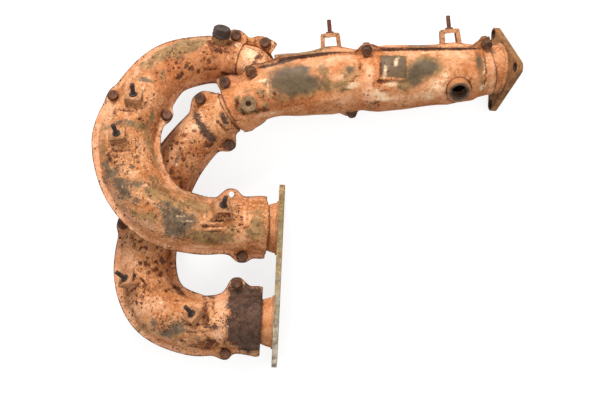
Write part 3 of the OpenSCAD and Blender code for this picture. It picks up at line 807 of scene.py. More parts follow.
@dataclass(frozen=True)
class Layout:
    """The part's driving sizes, in millimetres and degrees, and the routes that follow from them."""

    port_spacing: float = 104.0
    flange_thick: float = 6.0
    floor_z: float = -40.0
    port_od: float = 56.0
    pipe_od: float = 42.0
    pipe_wall: float = 2.0
    upper_height: float = 182.0
    upper_reach: float = 175.0
    lower_reach: float = 151.0
    collector_length: float = 252.0
    neck_od: float = 51.0
    crossing_gap: float = 5.0
    outlet_pitch: float = 45.0
    outlet_corner: float = 7.5
    outlet_thick: float = 7.0
    outlet_slope: float = 18.0
    sheet: float = 1.2
    air_gap: float = 2.2
    seam_roll: float = 36.0
    fit: float = 0.1
    seat: float = 0.3
    port_flare: float = 26.0
    upper_bend: float = 80.0
    lower_bend: float = 59.0
    lower_dip: float = 7.0
    sweep_x: float = 160.0
    mouth_turn: float = 6.0
    branch_spread: float = 15.0
    branch_lift: float = 4.0

    @property
    def pipe_r(self) -> float:
        """Outside radius of a branch pipe."""
        return self.pipe_od / 2

    @property
    def arch(self) -> float:
        """Height of a shield over a branch pipe."""
        return self.pipe_r + self.air_gap + self.sheet

    @property
    def low_z(self) -> float:
        """Height of a branch that lies on the floor."""
        return self.floor_z + self.arch + 0.2

    @property
    def high_z(self) -> float:
        """Height of the upper branch where it crosses over the lower."""
        return self.low_z + 2 * self.arch + self.crossing_gap

    @property
    def mouth_r(self) -> float:
        """Outside radius of the collector's mouth."""
        return self.pipe_r + 9.5

    @property
    def top_y(self) -> float:
        """Height of the upper loop's top, along +Y."""
        return self.port_spacing / 2 + self.upper_height

    @property
    def mouth(self) -> Array:
        """Centre of the collector's mouth."""
        return np.array([-21.0, self.top_y - 27, 2.5])

    @property
    def outlet(self) -> Array:
        """Centre of the outlet flange's inner face."""
        slope = math.radians(self.outlet_slope)
        z = (self.floor_z + (self.outlet_pitch / 2 + self.outlet_corner) * math.cos(slope)
             + self.outlet_thick * math.sin(slope))
        return np.array([self.mouth[0] + self.collector_length, self.mouth[1] + 32.5, z])

    @property
    def outlet_axis(self) -> Array:
        """The way gas leaves the outlet."""
        slope = math.radians(self.outlet_slope)
        return np.array([math.cos(slope), 0.0, -math.sin(slope)])

    def upper(self) -> Route:
        """The upper branch: out of its port, round a tall loop, and back to the collector."""
        turn = heading(self.mouth_turn)
        across = np.cross([0, 0, 1], turn)
        port_y = self.port_spacing / 2
        a = np.arange(0, 181, 30)
        rise = self.high_z * between(a, [[0, 0.5], [30, 0.91], [60, 1], [90, 0.92], [120, 0.68], [150, 0.3],
                                         [180, -0.12]])
        flat = between(a, [[90, 1], [120, 0.94], [150, 0.98], [180, 1]])
        loop = np.stack([
            self.upper_bend - self.upper_reach - self.upper_bend * flat * np.sin(np.radians(a)),
            port_y + self.upper_height / 2 * (1 - flat * np.cos(np.radians(a))), rise], 1)
        last = np.array([-42, self.top_y - 4, self.low_z + 5])
        end = self.mouth + across * self.branch_spread - [0, 0, self.branch_lift] - turn * self.fit
        start = [[28, port_y, 2], [-self.flange_thick - self.fit, port_y, 0], [-28, port_y, 2],
                 [-62, port_y, 9]]
        return Route(np.vstack([start, loop, [-66, self.top_y, self.low_z], last, end, last + turn * 40]))

    def lower(self) -> Route:
        """The lower branch: out of its port, round a low bend, and a long sweep to the collector."""
        turn = heading(self.mouth_turn)
        across = np.cross([0, 0, 1], turn)
        port_y = -self.port_spacing / 2
        bend_y = port_y - self.lower_dip + self.lower_bend
        sweep_y = self.top_y - 34 - bend_y
        a = np.array([0, 45])
        bend = np.stack([self.lower_bend - self.lower_reach - self.lower_bend * np.sin(np.radians(a)),
                         bend_y - self.lower_bend * np.cos(np.radians(a)),
                         self.low_z * np.array([0.2, 0.6])], 1)
        b = np.arange(0, 55, 18)
        height = self.low_z + (8 - self.low_z) * between(b, [[0, 0.1], [18, 0], [36, 0.1], [54, 0.7]])
        sweep = np.stack([self.sweep_x * (1 - np.cos(np.radians(b))) - self.lower_reach,
                          bend_y + sweep_y * np.sin(np.radians(b)), height], 1)
        far = math.radians(68)
        last = np.array([self.sweep_x * (1 - math.cos(far)) - self.lower_reach,
                         bend_y + sweep_y * math.sin(far), 8])
        end = self.mouth - across * self.branch_spread + [0, 0, self.branch_lift] - turn * self.fit
        start = [[28, port_y, 0], [-self.flange_thick - self.fit, port_y, 0], [-28, port_y, 0],
                 [-58, port_y - 3, -1]]
        return Route(np.vstack([start, bend, sweep, last, end, last + turn * 40]))

    def collector(self) -> Route:
        """The collector: from its mouth along a slow bend to the outlet flange."""
        rows = ((0.13, 4.2, 1.5), (0.345, 11, 2), (0.565, 17, 3), (0.75, 22, 3), (0.88, 27, 0.5))
        points = [self.mouth + [self.collector_length * k, y, z - self.mouth[2]] for k, y, z in rows]
        return Route(np.vstack([points[0] - heading(self.mouth_turn) * 60, self.mouth, *points, self.outlet,
                                points[4] + self.outlet_axis * 60]))


# ---------------------------------------------------------------- shields


class Shape(Enum):
    """The outline of a spot: a soft round, a box with steep sides, or a ring."""

    ROUND = 1
    BOX = 2
    RING = 3


@dataclass(frozen=True)
class Spot:
    """A place on a shield, seen from above, that is pressed or marked.

    The field is 1 in the middle. With p and q the distances from the centre along the turned axes,
    over the half-sizes: a round is exp(-(p^2 + q^2)), a box falls from 1 to 0 as the larger of |p|
    and |q| passes 1, and a ring is exp(-9 (r - 1)^2) with r the root of p^2 + q^2.
    """

    x: float
    y: float
    half_x: float
    half_y: float
    turn: float = 0.0
    amount: float = 1.0
    shape: Shape = Shape.ROUND

    def field(self, points: Array) -> Array:
        """The spot's strength at each point, times its amount."""
        c, s = math.cos(math.radians(self.turn)), math.sin(math.radians(self.turn))
        dx, dy = points[..., 0] - self.x, points[..., 1] - self.y
        p, q = (dx * c + dy * s) / self.half_x, (dy * c - dx * s) / self.half_y
        if self.shape is Shape.BOX:
            edge = 1.1 / min(self.half_x, self.half_y)
            strength = smoothstep(np.maximum(abs(p), abs(q)), 1 + edge, 1 - edge)
        elif self.shape is Shape.RING:
            strength = np.exp(-9 * (np.hypot(p, q) - 1) ** 2)
        else:
            strength = np.exp(-(p ** 2 + q ** 2))
        return self.amount * strength


def spots(rows: list[tuple], shape: Shape = Shape.ROUND) -> list[Spot]:
    """Spots of one shape from rows of x, y, half-sizes, turn and amount."""
    return [Spot(*row, shape) for row in rows]


def total(chosen: list[Spot], points: Array) -> Array:
    """The sum of some spots' fields at each point."""
    return sum((spot.field(points) for spot in chosen), np.zeros(points.shape[:-1]))


@dataclass(frozen=True)
class Ear:
    """A hole in a shield's lip: its place along the shield, its offset to the side, and its bolt."""

    u: float
    offset: float
    bolted: bool = True


@dataclass
class Shield:
    """A pipe's heat shield: two pressed halves with lips, held together at ears along the seam."""

    name: str
    layout: Layout
    route: Route
    table: list
    ears: list[Ear]
    dirs: Array | None = None
    roll: list = field(default_factory=lambda: [[0, 0], [12, 0]])
    ear_length: float = 17.0
    ear_edge: float = 6.5
    bolt_face: float = 12.5
    hole_r: float = 3.3

    def frame_at(self, u: Array) -> tuple[Array, Array, Array]:
        """Centres, sides and fronts at places along the shield."""
        u = np.asarray(u, float)
        if self.dirs is None:
            travel = self.route.along(u)
        else:
            i = np.clip(np.floor(u).astype(int), 0, len(self.dirs) - 2)
            t = (u - i)[..., None]
            travel = unit(self.dirs[i] * (1 - t) + self.dirs[i + 1] * t)
        return stations(self.route.at(u), travel, between(u, self.roll))

    def seam_axes(self, ear: Ear) -> Axes:
        """An ear's place on the seam, with x out to the side and z square to the lip."""
        near = np.array([ear.u, ear.u + 0.1, ear.u - 0.1])
        centre, side, _ = self.frame_at(near)
        places = centre + side * ear.offset
        return Axes(places[0], side[0], unit(np.cross(places[1] - places[2], side[0])))

    def _reach(self, u: float) -> float:
        """Half an ear's length, in places along the route."""
        d = 0.01
        step = self.route.at(np.array([u + d])) - self.route.at(np.array([u - d]))
        return float(self.ear_length * 2 * d / np.linalg.norm(step))

    def _edges(self, u: Array, sign: int) -> tuple[Array, Array]:
        """Half-width of the arch and reach of the lip on one side, at places along the shield."""
        plain = between(u, self.table, 1)
        arch, lip = plain.copy(), plain + between(u, self.table, 4)
        for ear in self.ears:
            if ear.offset * sign <= 0:
                continue
            k = np.clip(np.abs(u - ear.u) / self._reach(ear.u), 0, 1)
            bulge = np.minimum(1, (np.cos(math.pi / 2 * k) / math.cos(math.radians(27))) ** 1.2)
            offset = abs(ear.offset)
            lip = np.maximum(lip, plain + (offset + self.ear_edge - plain) * bulge)
            if ear.bolted:
                dent = np.maximum(0, plain - offset + self.bolt_face / 2 + 2 * self.layout.seat)
                arch = np.minimum(arch, plain - dent * bulge)
        return arch, lip

    def skin(self, u: Array, front: bool, lip_points: int = 8, arch_points: int = 78) -> tuple[Array, Array]:
        """The outer skin of one half, as a grid over u and the way across.

        Each row is a flat lip, an arch whose points are (half-width times the cosine, height times
        the sine) of an angle that runs from 0 to 180 degrees, and a second lip. Each row is then
        blurred along itself, which rounds the foot where the arch leaves the lip.

        Args:
            u: Places along the shield.
            front: Which half.
            lip_points: Points across each lip.
            arch_points: Points over the arch.

        Returns:
            The grid of points, and each point's distance from the nearest lip's edge.
        """
        turn = 1 if front else -1
        height = softened(between(u, self.table, 2 if front else 3), 4.0, 0)
        (arch_a, tip_a), (arch_b, tip_b) = self._edges(u, turn), self._edges(u, -turn)
        lift = self.layout.fit + self.layout.sheet
        s = np.linspace(0, 1, lip_points, endpoint=False)
        d = np.linspace(0, math.pi, arch_points)
        half = np.where(np.cos(d) > 0, arch_a[:, None], arch_b[:, None])
        x = np.concatenate([tip_a[:, None] + (arch_a - tip_a)[:, None] * s, half * np.cos(d),
                            -(tip_b[:, None] + (arch_b - tip_b)[:, None] * s)[:, ::-1]], 1)
        z = np.concatenate([np.zeros((len(u), lip_points)), (height - lift)[:, None] * np.sin(d),
                            np.zeros((len(u), lip_points))], 1) + lift
        rim = np.minimum(tip_a[:, None] - x, tip_b[:, None] + x)
        profile = softened(np.stack([x, z], -1), 1.5, 1)
        centre, side, up = self.frame_at(u)
        grid = (centre[:, None] + side[:, None] * (profile[..., :1] * turn)
                + up[:, None] * (profile[..., 1:] * turn))
        return softened(grid, 2.0, 0), rim


class Side(Enum):
    """The two halves of a shield."""

    FRONT = "front"
    BACK = "back"


@dataclass
class HalfShell:
    """One pressed half of a shield, with everything that is pressed into it or has marked it."""

    shield: Shield
    side: Side
    start: float
    end: float
    presses: list[Spot] = field(default_factory=list)
    marks: dict[Mark, list[Spot]] = field(default_factory=dict)
    holes: list[Hole] = field(default_factory=list)
    press_gain: float = 1.35
    dent: float = 0.35
    dent_wave: float = 38.0
    grain: float = 0.10
    grain_wave: float = 9.0
    lip_bend: float = 0.175
    lip_wave: float = 24.0
    seed: int = 1

    @property
    def step(self) -> float:
        """The distance between rows of points, which is finer on the front."""
        return 1.25 if self.side is Side.FRONT else 1.5

    @property
    def node(self) -> str:
        """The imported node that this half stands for."""
        return f"{self.shield.name}_shield_{self.side.value}"

    def build(self, finishes: Finishes) -> bpy.types.Object:
        """Builds the half: its skin, pressed and dented, its holes, and its wall.

        Args:
            finishes: The part's materials.

        Returns:
            The object.
        """
        lay = self.shield.layout
        u = self.shield.route.even(self.start, self.end, self.step)
        grid, rim = self.shield.skin(u, self.side is Side.FRONT)
        outward = normals_of(grid, False)
        inland = smoothstep(rim, 2.0, 9.0)
        height = self.dent * ripple(grid, self.dent_wave, self.seed) * inland
        height += self.grain * ripple(grid, self.grain_wave, self.seed + 1)
        height += self.lip_bend * ripple(grid, self.lip_wave, self.seed + 2) * smoothstep(rim, 6.0, 0.0)
        height += self.press_gain * total(self.presses, grid) * smoothstep(rim, 0.5, 5.0)
        kept, outer = pierced(grid + outward * height[..., None], self.holes, False)
        inner = outer - normals_of(outer, False) * lay.sheet
        ends = np.minimum(np.arange(len(u)), np.arange(len(u))[::-1])[:, None] * self.step
        # Painted shade: the edge mark darkens the sheet's outer edges and ends, as dark rust and as the
        # shadow in the gap beside them.
        edge = np.exp(-np.minimum(rim, ends) / 1.1)
        marks = {}
        for mark in Mark:
            value = total(self.marks.get(mark, []), grid)
            if mark is Mark.EDGE:
                value = value + edge
            # Painted highlight: the pale mark is laid thicker on the flat lips, towards their edges.
            if mark is Mark.PALE:
                value = value + 0.55 * smoothstep(rim, 8.0, 4.0)
            inside = np.full(value.size, 0.3 * (mark is Mark.EMBER))
            marks[mark.value.key] = np.concatenate([value.ravel(), inside])
        points = np.concatenate([outer.reshape(-1, 3), inner.reshape(-1, 3)])
        faces = shell_faces(kept, False)
        piece = make_piece(self.node + "_sheet", points, faces, self.node, marks)
        return finishes.dress(piece, "cover" if self.shield.name == "collector" else "shield")


# ---------------------------------------------------------------- pipes


@dataclass
class Pipe:
    """A hollow pipe along a route, with half-widths that may change along it."""

    name: str
    layout: Layout
    route: Route
    halves: Array
    u: Array
    crumple: Spot | None = None
    holes: list[Hole] = field(default_factory=list)
    marks: dict[Mark, list[Spot]] = field(default_factory=dict)
    sides: int = 108
    grain: float = 0.12
    grain_wave: float = 11.0
    fold_wave: float = 7.0
    highest: float = 0.9

    def build(self, finishes: Finishes) -> bpy.types.Object:
        """Builds the pipe: an oval at each station, and the same oval a wall smaller.

        Args:
            finishes: The part's materials.

        Returns:
            The object.
        """
        centre, side, up = stations(self.route.at(self.u), self.route.along(self.u))
        angle = np.arange(self.sides) * 2 * math.pi / self.sides
        skins = []
        for shrink in (0.0, self.layout.pipe_wall):
            x = (self.halves[:, :1] - shrink) * np.cos(angle)
            z = (self.halves[:, 1:] - shrink) * np.sin(angle)
            skins.append(centre[:, None] + side[:, None] * x[..., None] + up[:, None] * z[..., None])
        outward = normals_of(skins[0], True)
        lift = self.grain * ripple(skins[0], self.grain_wave, 5)
        if self.crumple:
            folds = ripple(skins[0] * [1.0, 0.35, 1.0], self.fold_wave, 9, 6)
            lift = lift + self.crumple.field(skins[0]) * (0.9 - 2.2 * np.abs(folds)) * 0.8
        lift = np.minimum(lift, self.highest)
        kept, skins[0] = pierced(skins[0] + outward * lift[..., None], self.holes, True)
        skins[1] = np.where(touched(kept)[..., None], skins[0] - outward * self.layout.pipe_wall, skins[1])
        points = np.concatenate([skin.reshape(-1, 3) for skin in skins])
        marks = {}
        for mark in Mark:
            value = total(self.marks.get(mark, []), skins[0])
            # Painted shade and soot: the pipe's inner skin is covered with the scorch mark.
            soot_and_shade = np.full(value.size, 1.6 * (mark is Mark.SCORCH))
            marks[mark.value.key] = np.concatenate([value.ravel(), soot_and_shade])
        faces = shell_faces(kept, True)
        piece = make_piece(self.name + "_tube", points, faces, self.name, marks)
        return finishes.dress(piece, "pipe")


def touched(kept: Array) -> Array:
    """The points of a ringed grid that stand beside a dropped cell."""
    gone = np.pad(~kept, ((1, 1), (0, 0)))
    return gone[:-1] | gone[1:] | np.roll(gone[:-1] | gone[1:], 1, 1)


def bead(axes: Axes, radius: float, thick: float, name: str, finishes: Finishes,
         seed: int) -> bpy.types.Object:
    """A weld bead round a pipe: a ring whose own section is round, with ripples of the torch along it.

    Args:
        axes: The ring's centre, with its axis along z.
        radius: Radius of the bead's centre line.
        thick: Radius of the bead itself.
        name: The piece's name.
        finishes: The part's materials.
        seed: Picks the wander of the bead.

    Returns:
        The object.
    """
    around, across = 180, 14
    a = np.arange(around) * 2 * math.pi / around
    b = np.arange(across) * 2 * math.pi / across
    size = thick * (1 + 0.16 * np.abs(np.sin(a * 26)) + 0.1 * np.sin(3 * a + seed))
    r = radius + size[:, None] * np.cos(b)
    local = np.stack([r * np.cos(a)[:, None], r * np.sin(a)[:, None], -size[:, None] * np.sin(b)], -1)
    faces = grid_faces(around, across, wrap_rows=True)
    piece = make_piece(name, axes.put(local), faces, None)
    return finishes.dress(piece, "weld")


# ---------------------------------------------------------------- sub-assemblies


def pipe_halves(layout: Layout, route: Route, u: Array) -> Array:
    """Half-widths of a branch pipe: wide at its port, then plain, then narrow across at its end."""
    x = -route.at(u)[:, 0] - layout.flange_thick - layout.fit
    f = np.maximum(0, 1 - x / layout.port_flare)
    wide = layout.pipe_r + (layout.port_od / 2 - layout.pipe_r) * f * f * (3 - 2 * f)
    end = np.maximum(0, u - route.length + 1)
    across = layout.pipe_r + (layout.branch_spread - 0.5 - layout.pipe_r) * end
    return np.where((u < 2)[:, None], np.stack([wide, wide], 1),
                    np.stack([across, np.full(len(u), layout.pipe_r)], 1))


def necked(layout: Layout, radius: float) -> float:
    """Size of a shield's end that is necked onto a pipe."""
    return (radius + layout.seat) / math.cos(math.radians(11.25)) + layout.sheet


@dataclass
class UpperBranch:
    """The branch from the upper port: its pipe and its two shield halves."""

    layout: Layout
    front_end: float = 10.5
    plug_hole_r: float = 9.6

    def shield(self) -> Shield:
        """The upper shield's sizes along its route."""
        lay, arch = self.layout, self.layout.arch
        port, end = necked(lay, lay.port_od / 2), necked(lay, lay.pipe_r)
        table = [
            [0.62, port, port, port, 4], [0.9, port, port, port, 5], [1.5, 27, arch + 1, arch + 1, 6],
            [2.2, 26, arch, arch, 5], [3, 26.5, arch, arch, 6], [4, 27.5, arch, arch, 7.5],
            [5, 29, arch, arch, 8], [6, 30, arch, arch, 8], [7, 28, arch, arch, 5], [8, 26, arch, arch, 3],
            [9, 25, arch, arch, 1.5], [10.1, 24.5, arch, arch, 1.5], [10.5, end, end, end, 2],
            [11, end, end, end + 0.5, 2], [11.4, end - 1.5, end, end + 1.5, 2]]
        ears = [Ear(1.5, 33.5), Ear(1.9, -35, False), Ear(6.75, 30), Ear(6.95, -32), Ear(10.05, 29.5),
                Ear(11.1, 29)]
        return Shield("upper", lay, lay.upper(), table, ears)

    def build(self, finishes: Finishes) -> None:
        """Builds the pipe and both halves.

        Args:
            finishes: The part's materials.
        """
        lay, shield = self.layout, self.shield()
        route = shield.route
        u = route.even(0, route.length, PIPE_STEP)
        Pipe("upper_pipe", lay, route, pipe_halves(lay, route, u), u, Spot(-35, 232, 22, 26),
             marks=UPPER_PIPE_MARKS).build(finishes)
        spare = Hole(shield.seam_axes(shield.ears[1]), shield.hole_r)
        plug = Hole(PlugAndBoss(lay).seat(), self.plug_hole_r)
        start = shield.table[0][0]
        HalfShell(shield, Side.FRONT, start, self.front_end, UPPER_PRESSES, UPPER_MARKS, [spare, plug],
                  seed=11).build(finishes)
        HalfShell(shield, Side.BACK, start, shield.table[-1][0], marks=BACK_MARKS, holes=[spare],
                  seed=21).build(finishes)


@dataclass
class LowerBranch:
    """The branch from the lower port: its pipe and its two shield halves."""

    layout: Layout

    def shield(self) -> Shield:
        """The lower shield's sizes along its route."""
        lay, arch = self.layout, self.layout.arch
        port, end = necked(lay, lay.port_od / 2), necked(lay, lay.pipe_r)
        table = [
            [0.62, port, port, port, 8], [0.9, port + 0.5, port, port, 9], [1.5, 29, arch + 1, arch + 1, 7],
            [2.2, 27, arch, arch, 5], [3, 27.5, arch, arch, 7], [4, 28, arch, arch, 8],
            [5, 27, arch, arch, 8], [6, 25.5, arch, arch, 6], [7, 25, arch, arch, 3],
            [8, 24.5, arch, arch, 1.5], [8.4, end, end, end, 1.5], [8.58, end, end, end, 1.5]]
        ears = [Ear(1.55, -43), Ear(2.2, 34), Ear(5.7, 31), Ear(8.05, -30), Ear(8.2, 30)]
        return Shield("lower", lay, lay.lower(), table, ears)

    def build(self, finishes: Finishes) -> None:
        """Builds the pipe and both halves.

        Args:
            finishes: The part's materials.
        """
        lay, shield = self.layout, self.shield()
        route = shield.route
        u = route.even(0, route.length, PIPE_STEP)
        Pipe("lower_pipe", lay, route, pipe_halves(lay, route, u), u).build(finishes)
        start, end = shield.table[0][0], shield.table[-1][0]
        HalfShell(shield, Side.FRONT, start, end, LOWER_PRESSES, LOWER_MARKS, seed=31).build(finishes)
        HalfShell(shield, Side.BACK, start, end, marks=BACK_MARKS, seed=41).build(finishes)


@dataclass
class Collector:
    """The collector: its pipe, its two shield halves and its weld at the outlet."""

    layout: Layout
    back_start: float = 2.2
    pipe_hole_r: float = 9.0
    shield_hole_r: float = 14.5

    def shield(self) -> Shield:
        """The collector's shield, which follows the lower branch up to the mouth and then the pipe."""
        lay = self.layout
        lower, own = lay.lower(), lay.collector()
        rows = [(lower, u) for u in (8.3, 8.66, 9.25)]
        rows += [(own, u) for u in (0.02, 1, 1.6, 2, 2.2, 2.5, 3, 3.7, 4.55, 5.07, 5.5, 5.8)]
        centres = np.array([route.at(np.array([u]))[0] for route, u in rows])
        dirs = np.array([route.along(np.array([u]))[0] for route, u in rows[1:-1]])
        p, m, neck = lay.pipe_r, lay.mouth_r, necked(lay, lay.neck_od / 2)
        table = [
            [0, p + 4, p + 4, 30, 3], [1, p + 4.5, p + 6, 30, 4], [2, m + 2.8, m + 3, m + 3.5, 4],
            [3, 34, 34, 37, 5], [4, 35.5, 35.5, 39, 5], [5, 34, 34, 35.5, 4], [6, 32.5, 32.5, 33, 3],
            [7, 36, 36, 38, 5], [8, 35, 35, 37.5, 5], [9, 32.5, 32.5, 36, 5], [10, 30, 30, 34, 4],
            [11, 28.3, 28.3, 30, 3], [12, neck, neck, neck, 3]]
        roll = [[0, 8], [0.6, 8], [1, 23], [1.5, 25], [2, lay.seam_roll + 4], [3, lay.seam_roll]]
        ears = [Ear(0.3, 32), Ear(1.25, 33.5), Ear(5, -40), Ear(6.6, 40), Ear(11.7, 35.5)]
        return Shield("collector", lay, Route(centres), table, ears, dirs, roll)

    def radius(self, u: Array) -> Array:
        """Outside radius of the collector pipe along it."""
        m = self.layout.mouth_r
        return between(u, [[0, m], [1, m - 0.5], [2, m - 2.5], [3, m - 2.5], [4, m - 4],
                           [5, self.layout.neck_od / 2], [6, self.layout.neck_od / 2]])

    def build(self, finishes: Finishes) -> None:
        """Builds the pipe, both halves and the bead at the outlet flange.

        Args:
            finishes: The part's materials.
        """
        lay, shield = self.layout, self.shield()
        route = lay.collector()
        u = route.even(0, route.length, PIPE_STEP)
        halves = np.repeat(self.radius(u)[:, None], 2, 1)
        seat = SensorBung(lay).seat()
        Pipe("collector_pipe", lay, route, halves, u, holes=[Hole(seat, self.pipe_hole_r)]).build(finishes)
        start, end = shield.table[0][0], shield.table[-1][0]
        HalfShell(shield, Side.FRONT, start, end, COLLECTOR_PRESSES, COLLECTOR_MARKS,
                  [Hole(seat, self.shield_hole_r)], seed=51).build(finishes)
        HalfShell(shield, Side.BACK, self.back_start, end, COLLECTOR_BACK_PRESSES, COLLECTOR_BACK_MARKS,
                  seed=61).build(finishes)
        axis = Axes(lay.outlet - lay.outlet_axis * 1.4, ALONG_PORTS, lay.outlet_axis)
        bead(axis, lay.neck_od / 2 + 0.4, 1.9, "outlet_weld", finishes, 3)


@dataclass
class Flanges:
    """The head flange and the outlet flange, with their edges broken, and the port welds."""

    layout: Layout
    bevel: float = 0.7
    bare_from: float = -72.0
    bare_to: float = -80.0

    def build(self, finishes: Finishes) -> None:
        """Builds bevelled copies of both plates and a bead round each port.

        Args:
            finishes: The part's materials.
        """
        head = self._softened("head_flange")
        self._bared_and_highlit(head)
        finishes.dress(head, "head")
        finishes.dress(self._softened("outlet_flange"), "outlet")
        lay = self.layout
        inwards = np.array([-1.0, 0.0, 0.0])
        for number, y in enumerate((lay.port_spacing / 2, -lay.port_spacing / 2)):
            axis = Axes(np.array([-lay.flange_thick - 0.6, y, 0.0]), ALONG_PORTS, inwards)
            bead(axis, lay.port_od / 2 + 0.3, 1.5, f"port_weld_{number + 1}", finishes, number)

    def _bared_and_highlit(self, piece: bpy.types.Object) -> None:
        """Paints the head flange's low end pale: bare steel where handling has rubbed the rust off, and a
        painted highlight.

        Args:
            piece: The plate.
        """
        points = np.empty(len(piece.data.vertices) * 3)
        piece.data.vertices.foreach_get("co", points)
        # Painted highlight and bare steel: lighter towards the flange's low end.
        low = smoothstep(points.reshape(-1, 3)[:, 1] / MM, self.bare_from, self.bare_to)
        store = piece.data.attributes.new(Mark.BARE.value.key, "FLOAT", "POINT")
        store.data.foreach_set("value", low.astype(np.float32))

    def _softened(self, node: str) -> bpy.types.Object:
        """A copy of a plate with its doubled points merged and its sharp edges bevelled.

        Args:
            node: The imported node.

        Returns:
            The object.
        """
        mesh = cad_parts[node].data
        points = np.empty(len(mesh.vertices) * 3)
        mesh.vertices.foreach_get("co", points)
        rounded, numbers = np.unique(np.round(points.reshape(-1, 3) / MM, 3), axis=0, return_inverse=True)
        corners = np.empty(len(mesh.loops), np.int32)
        mesh.loops.foreach_get("vertex_index", corners)
        faces = numbers.ravel()[corners].reshape(-1, 3)
        whole = (faces[:, 0] != faces[:, 1]) & (faces[:, 1] != faces[:, 2]) & (faces[:, 2] != faces[:, 0])
        piece = make_piece(node + "_plate", rounded, faces[whole].tolist(), node, crease=30.0)
        edge = piece.modifiers.new("broken_edge", "BEVEL")
        edge.width = self.bevel * MM
        edge.segments = 2
        edge.limit_method = "ANGLE"
        edge.angle_limit = math.radians(40)
        edge.harden_normals = True
        return piece


@dataclass
class Clamps:
    """The bolts along the seams, each with its nut."""

    layout: Layout
    shields: list[Shield]
    bolt_d: float = 6.0
    flats: float = 10.0
    face: float = 12.5
    nut: float = 4.5

    def build(self, finishes: Finishes) -> None:
        """Builds a bolt and a nut at each bolted ear.

        Args:
            finishes: The part's materials.
        """
        lay = self.layout
        lip = lay.fit + lay.sheet + lay.seat + lay.fit
        ears = [shield.seam_axes(ear) for shield in self.shields for ear in shield.ears if ear.bolted]
        r, corner, top = self.bolt_d / 2, self.flats / 2 / math.cos(math.pi / 6), lip + 6
        bolt = [
            [0.6, -lip - self.nut - 0.5, 0], [r - 0.5, -lip - self.nut - 0.5, 0], [r, -lip - self.nut, 0],
            [r, lip, 0], [self.face / 2 - 0.25, lip, 0], [self.face / 2, lip + 0.25, 0],
            [self.face / 2 - 0.05, lip + 0.7, 0], [self.face / 2 - 0.5, lip + 1.0, 0],
            [corner, lip + 1.1, 1], [corner, lip + 2.6, 1], [corner, lip + 3.6, 1], [corner, top - 1.6, 1],
            [corner - 0.25, top - 0.8, 1], [corner - 0.8, top - 0.2, 1], [corner - 1.5, top, 1],
            [3.0, top - 0.1, 0], [2.2, top - 0.7, 0], [0.4, top - 0.8, 0]]
        bore = r + 0.1
        low = -lip - self.nut
        nut = [
            [bore, low + 0.4, 0], [bore + 0.5, low, 0], [corner - 0.9, low, 1], [corner - 0.1, low + 0.5, 1],
            [corner, low + 1.2, 1], [corner, -lip - 1.2, 1], [corner, -lip - 0.1, 1], [corner - 0.3, -lip, 1],
            [bore + 0.4, -lip, 0], [bore, -lip - 0.4, 0]]
        for number, axes in enumerate(ears, 1):
            points, faces = turned(bolt, 72, axes, self.flats, rough=0.14, seed=number)
            piece = make_piece(f"hex_bolt_{number}", points, faces, f"clamp_bolt_{number}")
            finishes.dress(piece, "bolt")
            points, faces = turned(nut, 72, axes, self.flats, wrap=True, rough=0.1, seed=number + 40)
            piece = make_piece(f"hex_nut_{number}", points, faces, f"clamp_nut_{number}")
            finishes.dress(piece, "bolt")


@dataclass(frozen=True)
class StudSeat:
    """Where a small bracket stands: its shield, its place, its angle from the front, and its lean."""

    shield: str
    u: float
    angle: float
    lean: tuple[float, float, float] | None = None

    @property
    def tall(self) -> bool:
        """Whether a tall bridge stands here, as on the collector."""
        return self.shield == "collector"


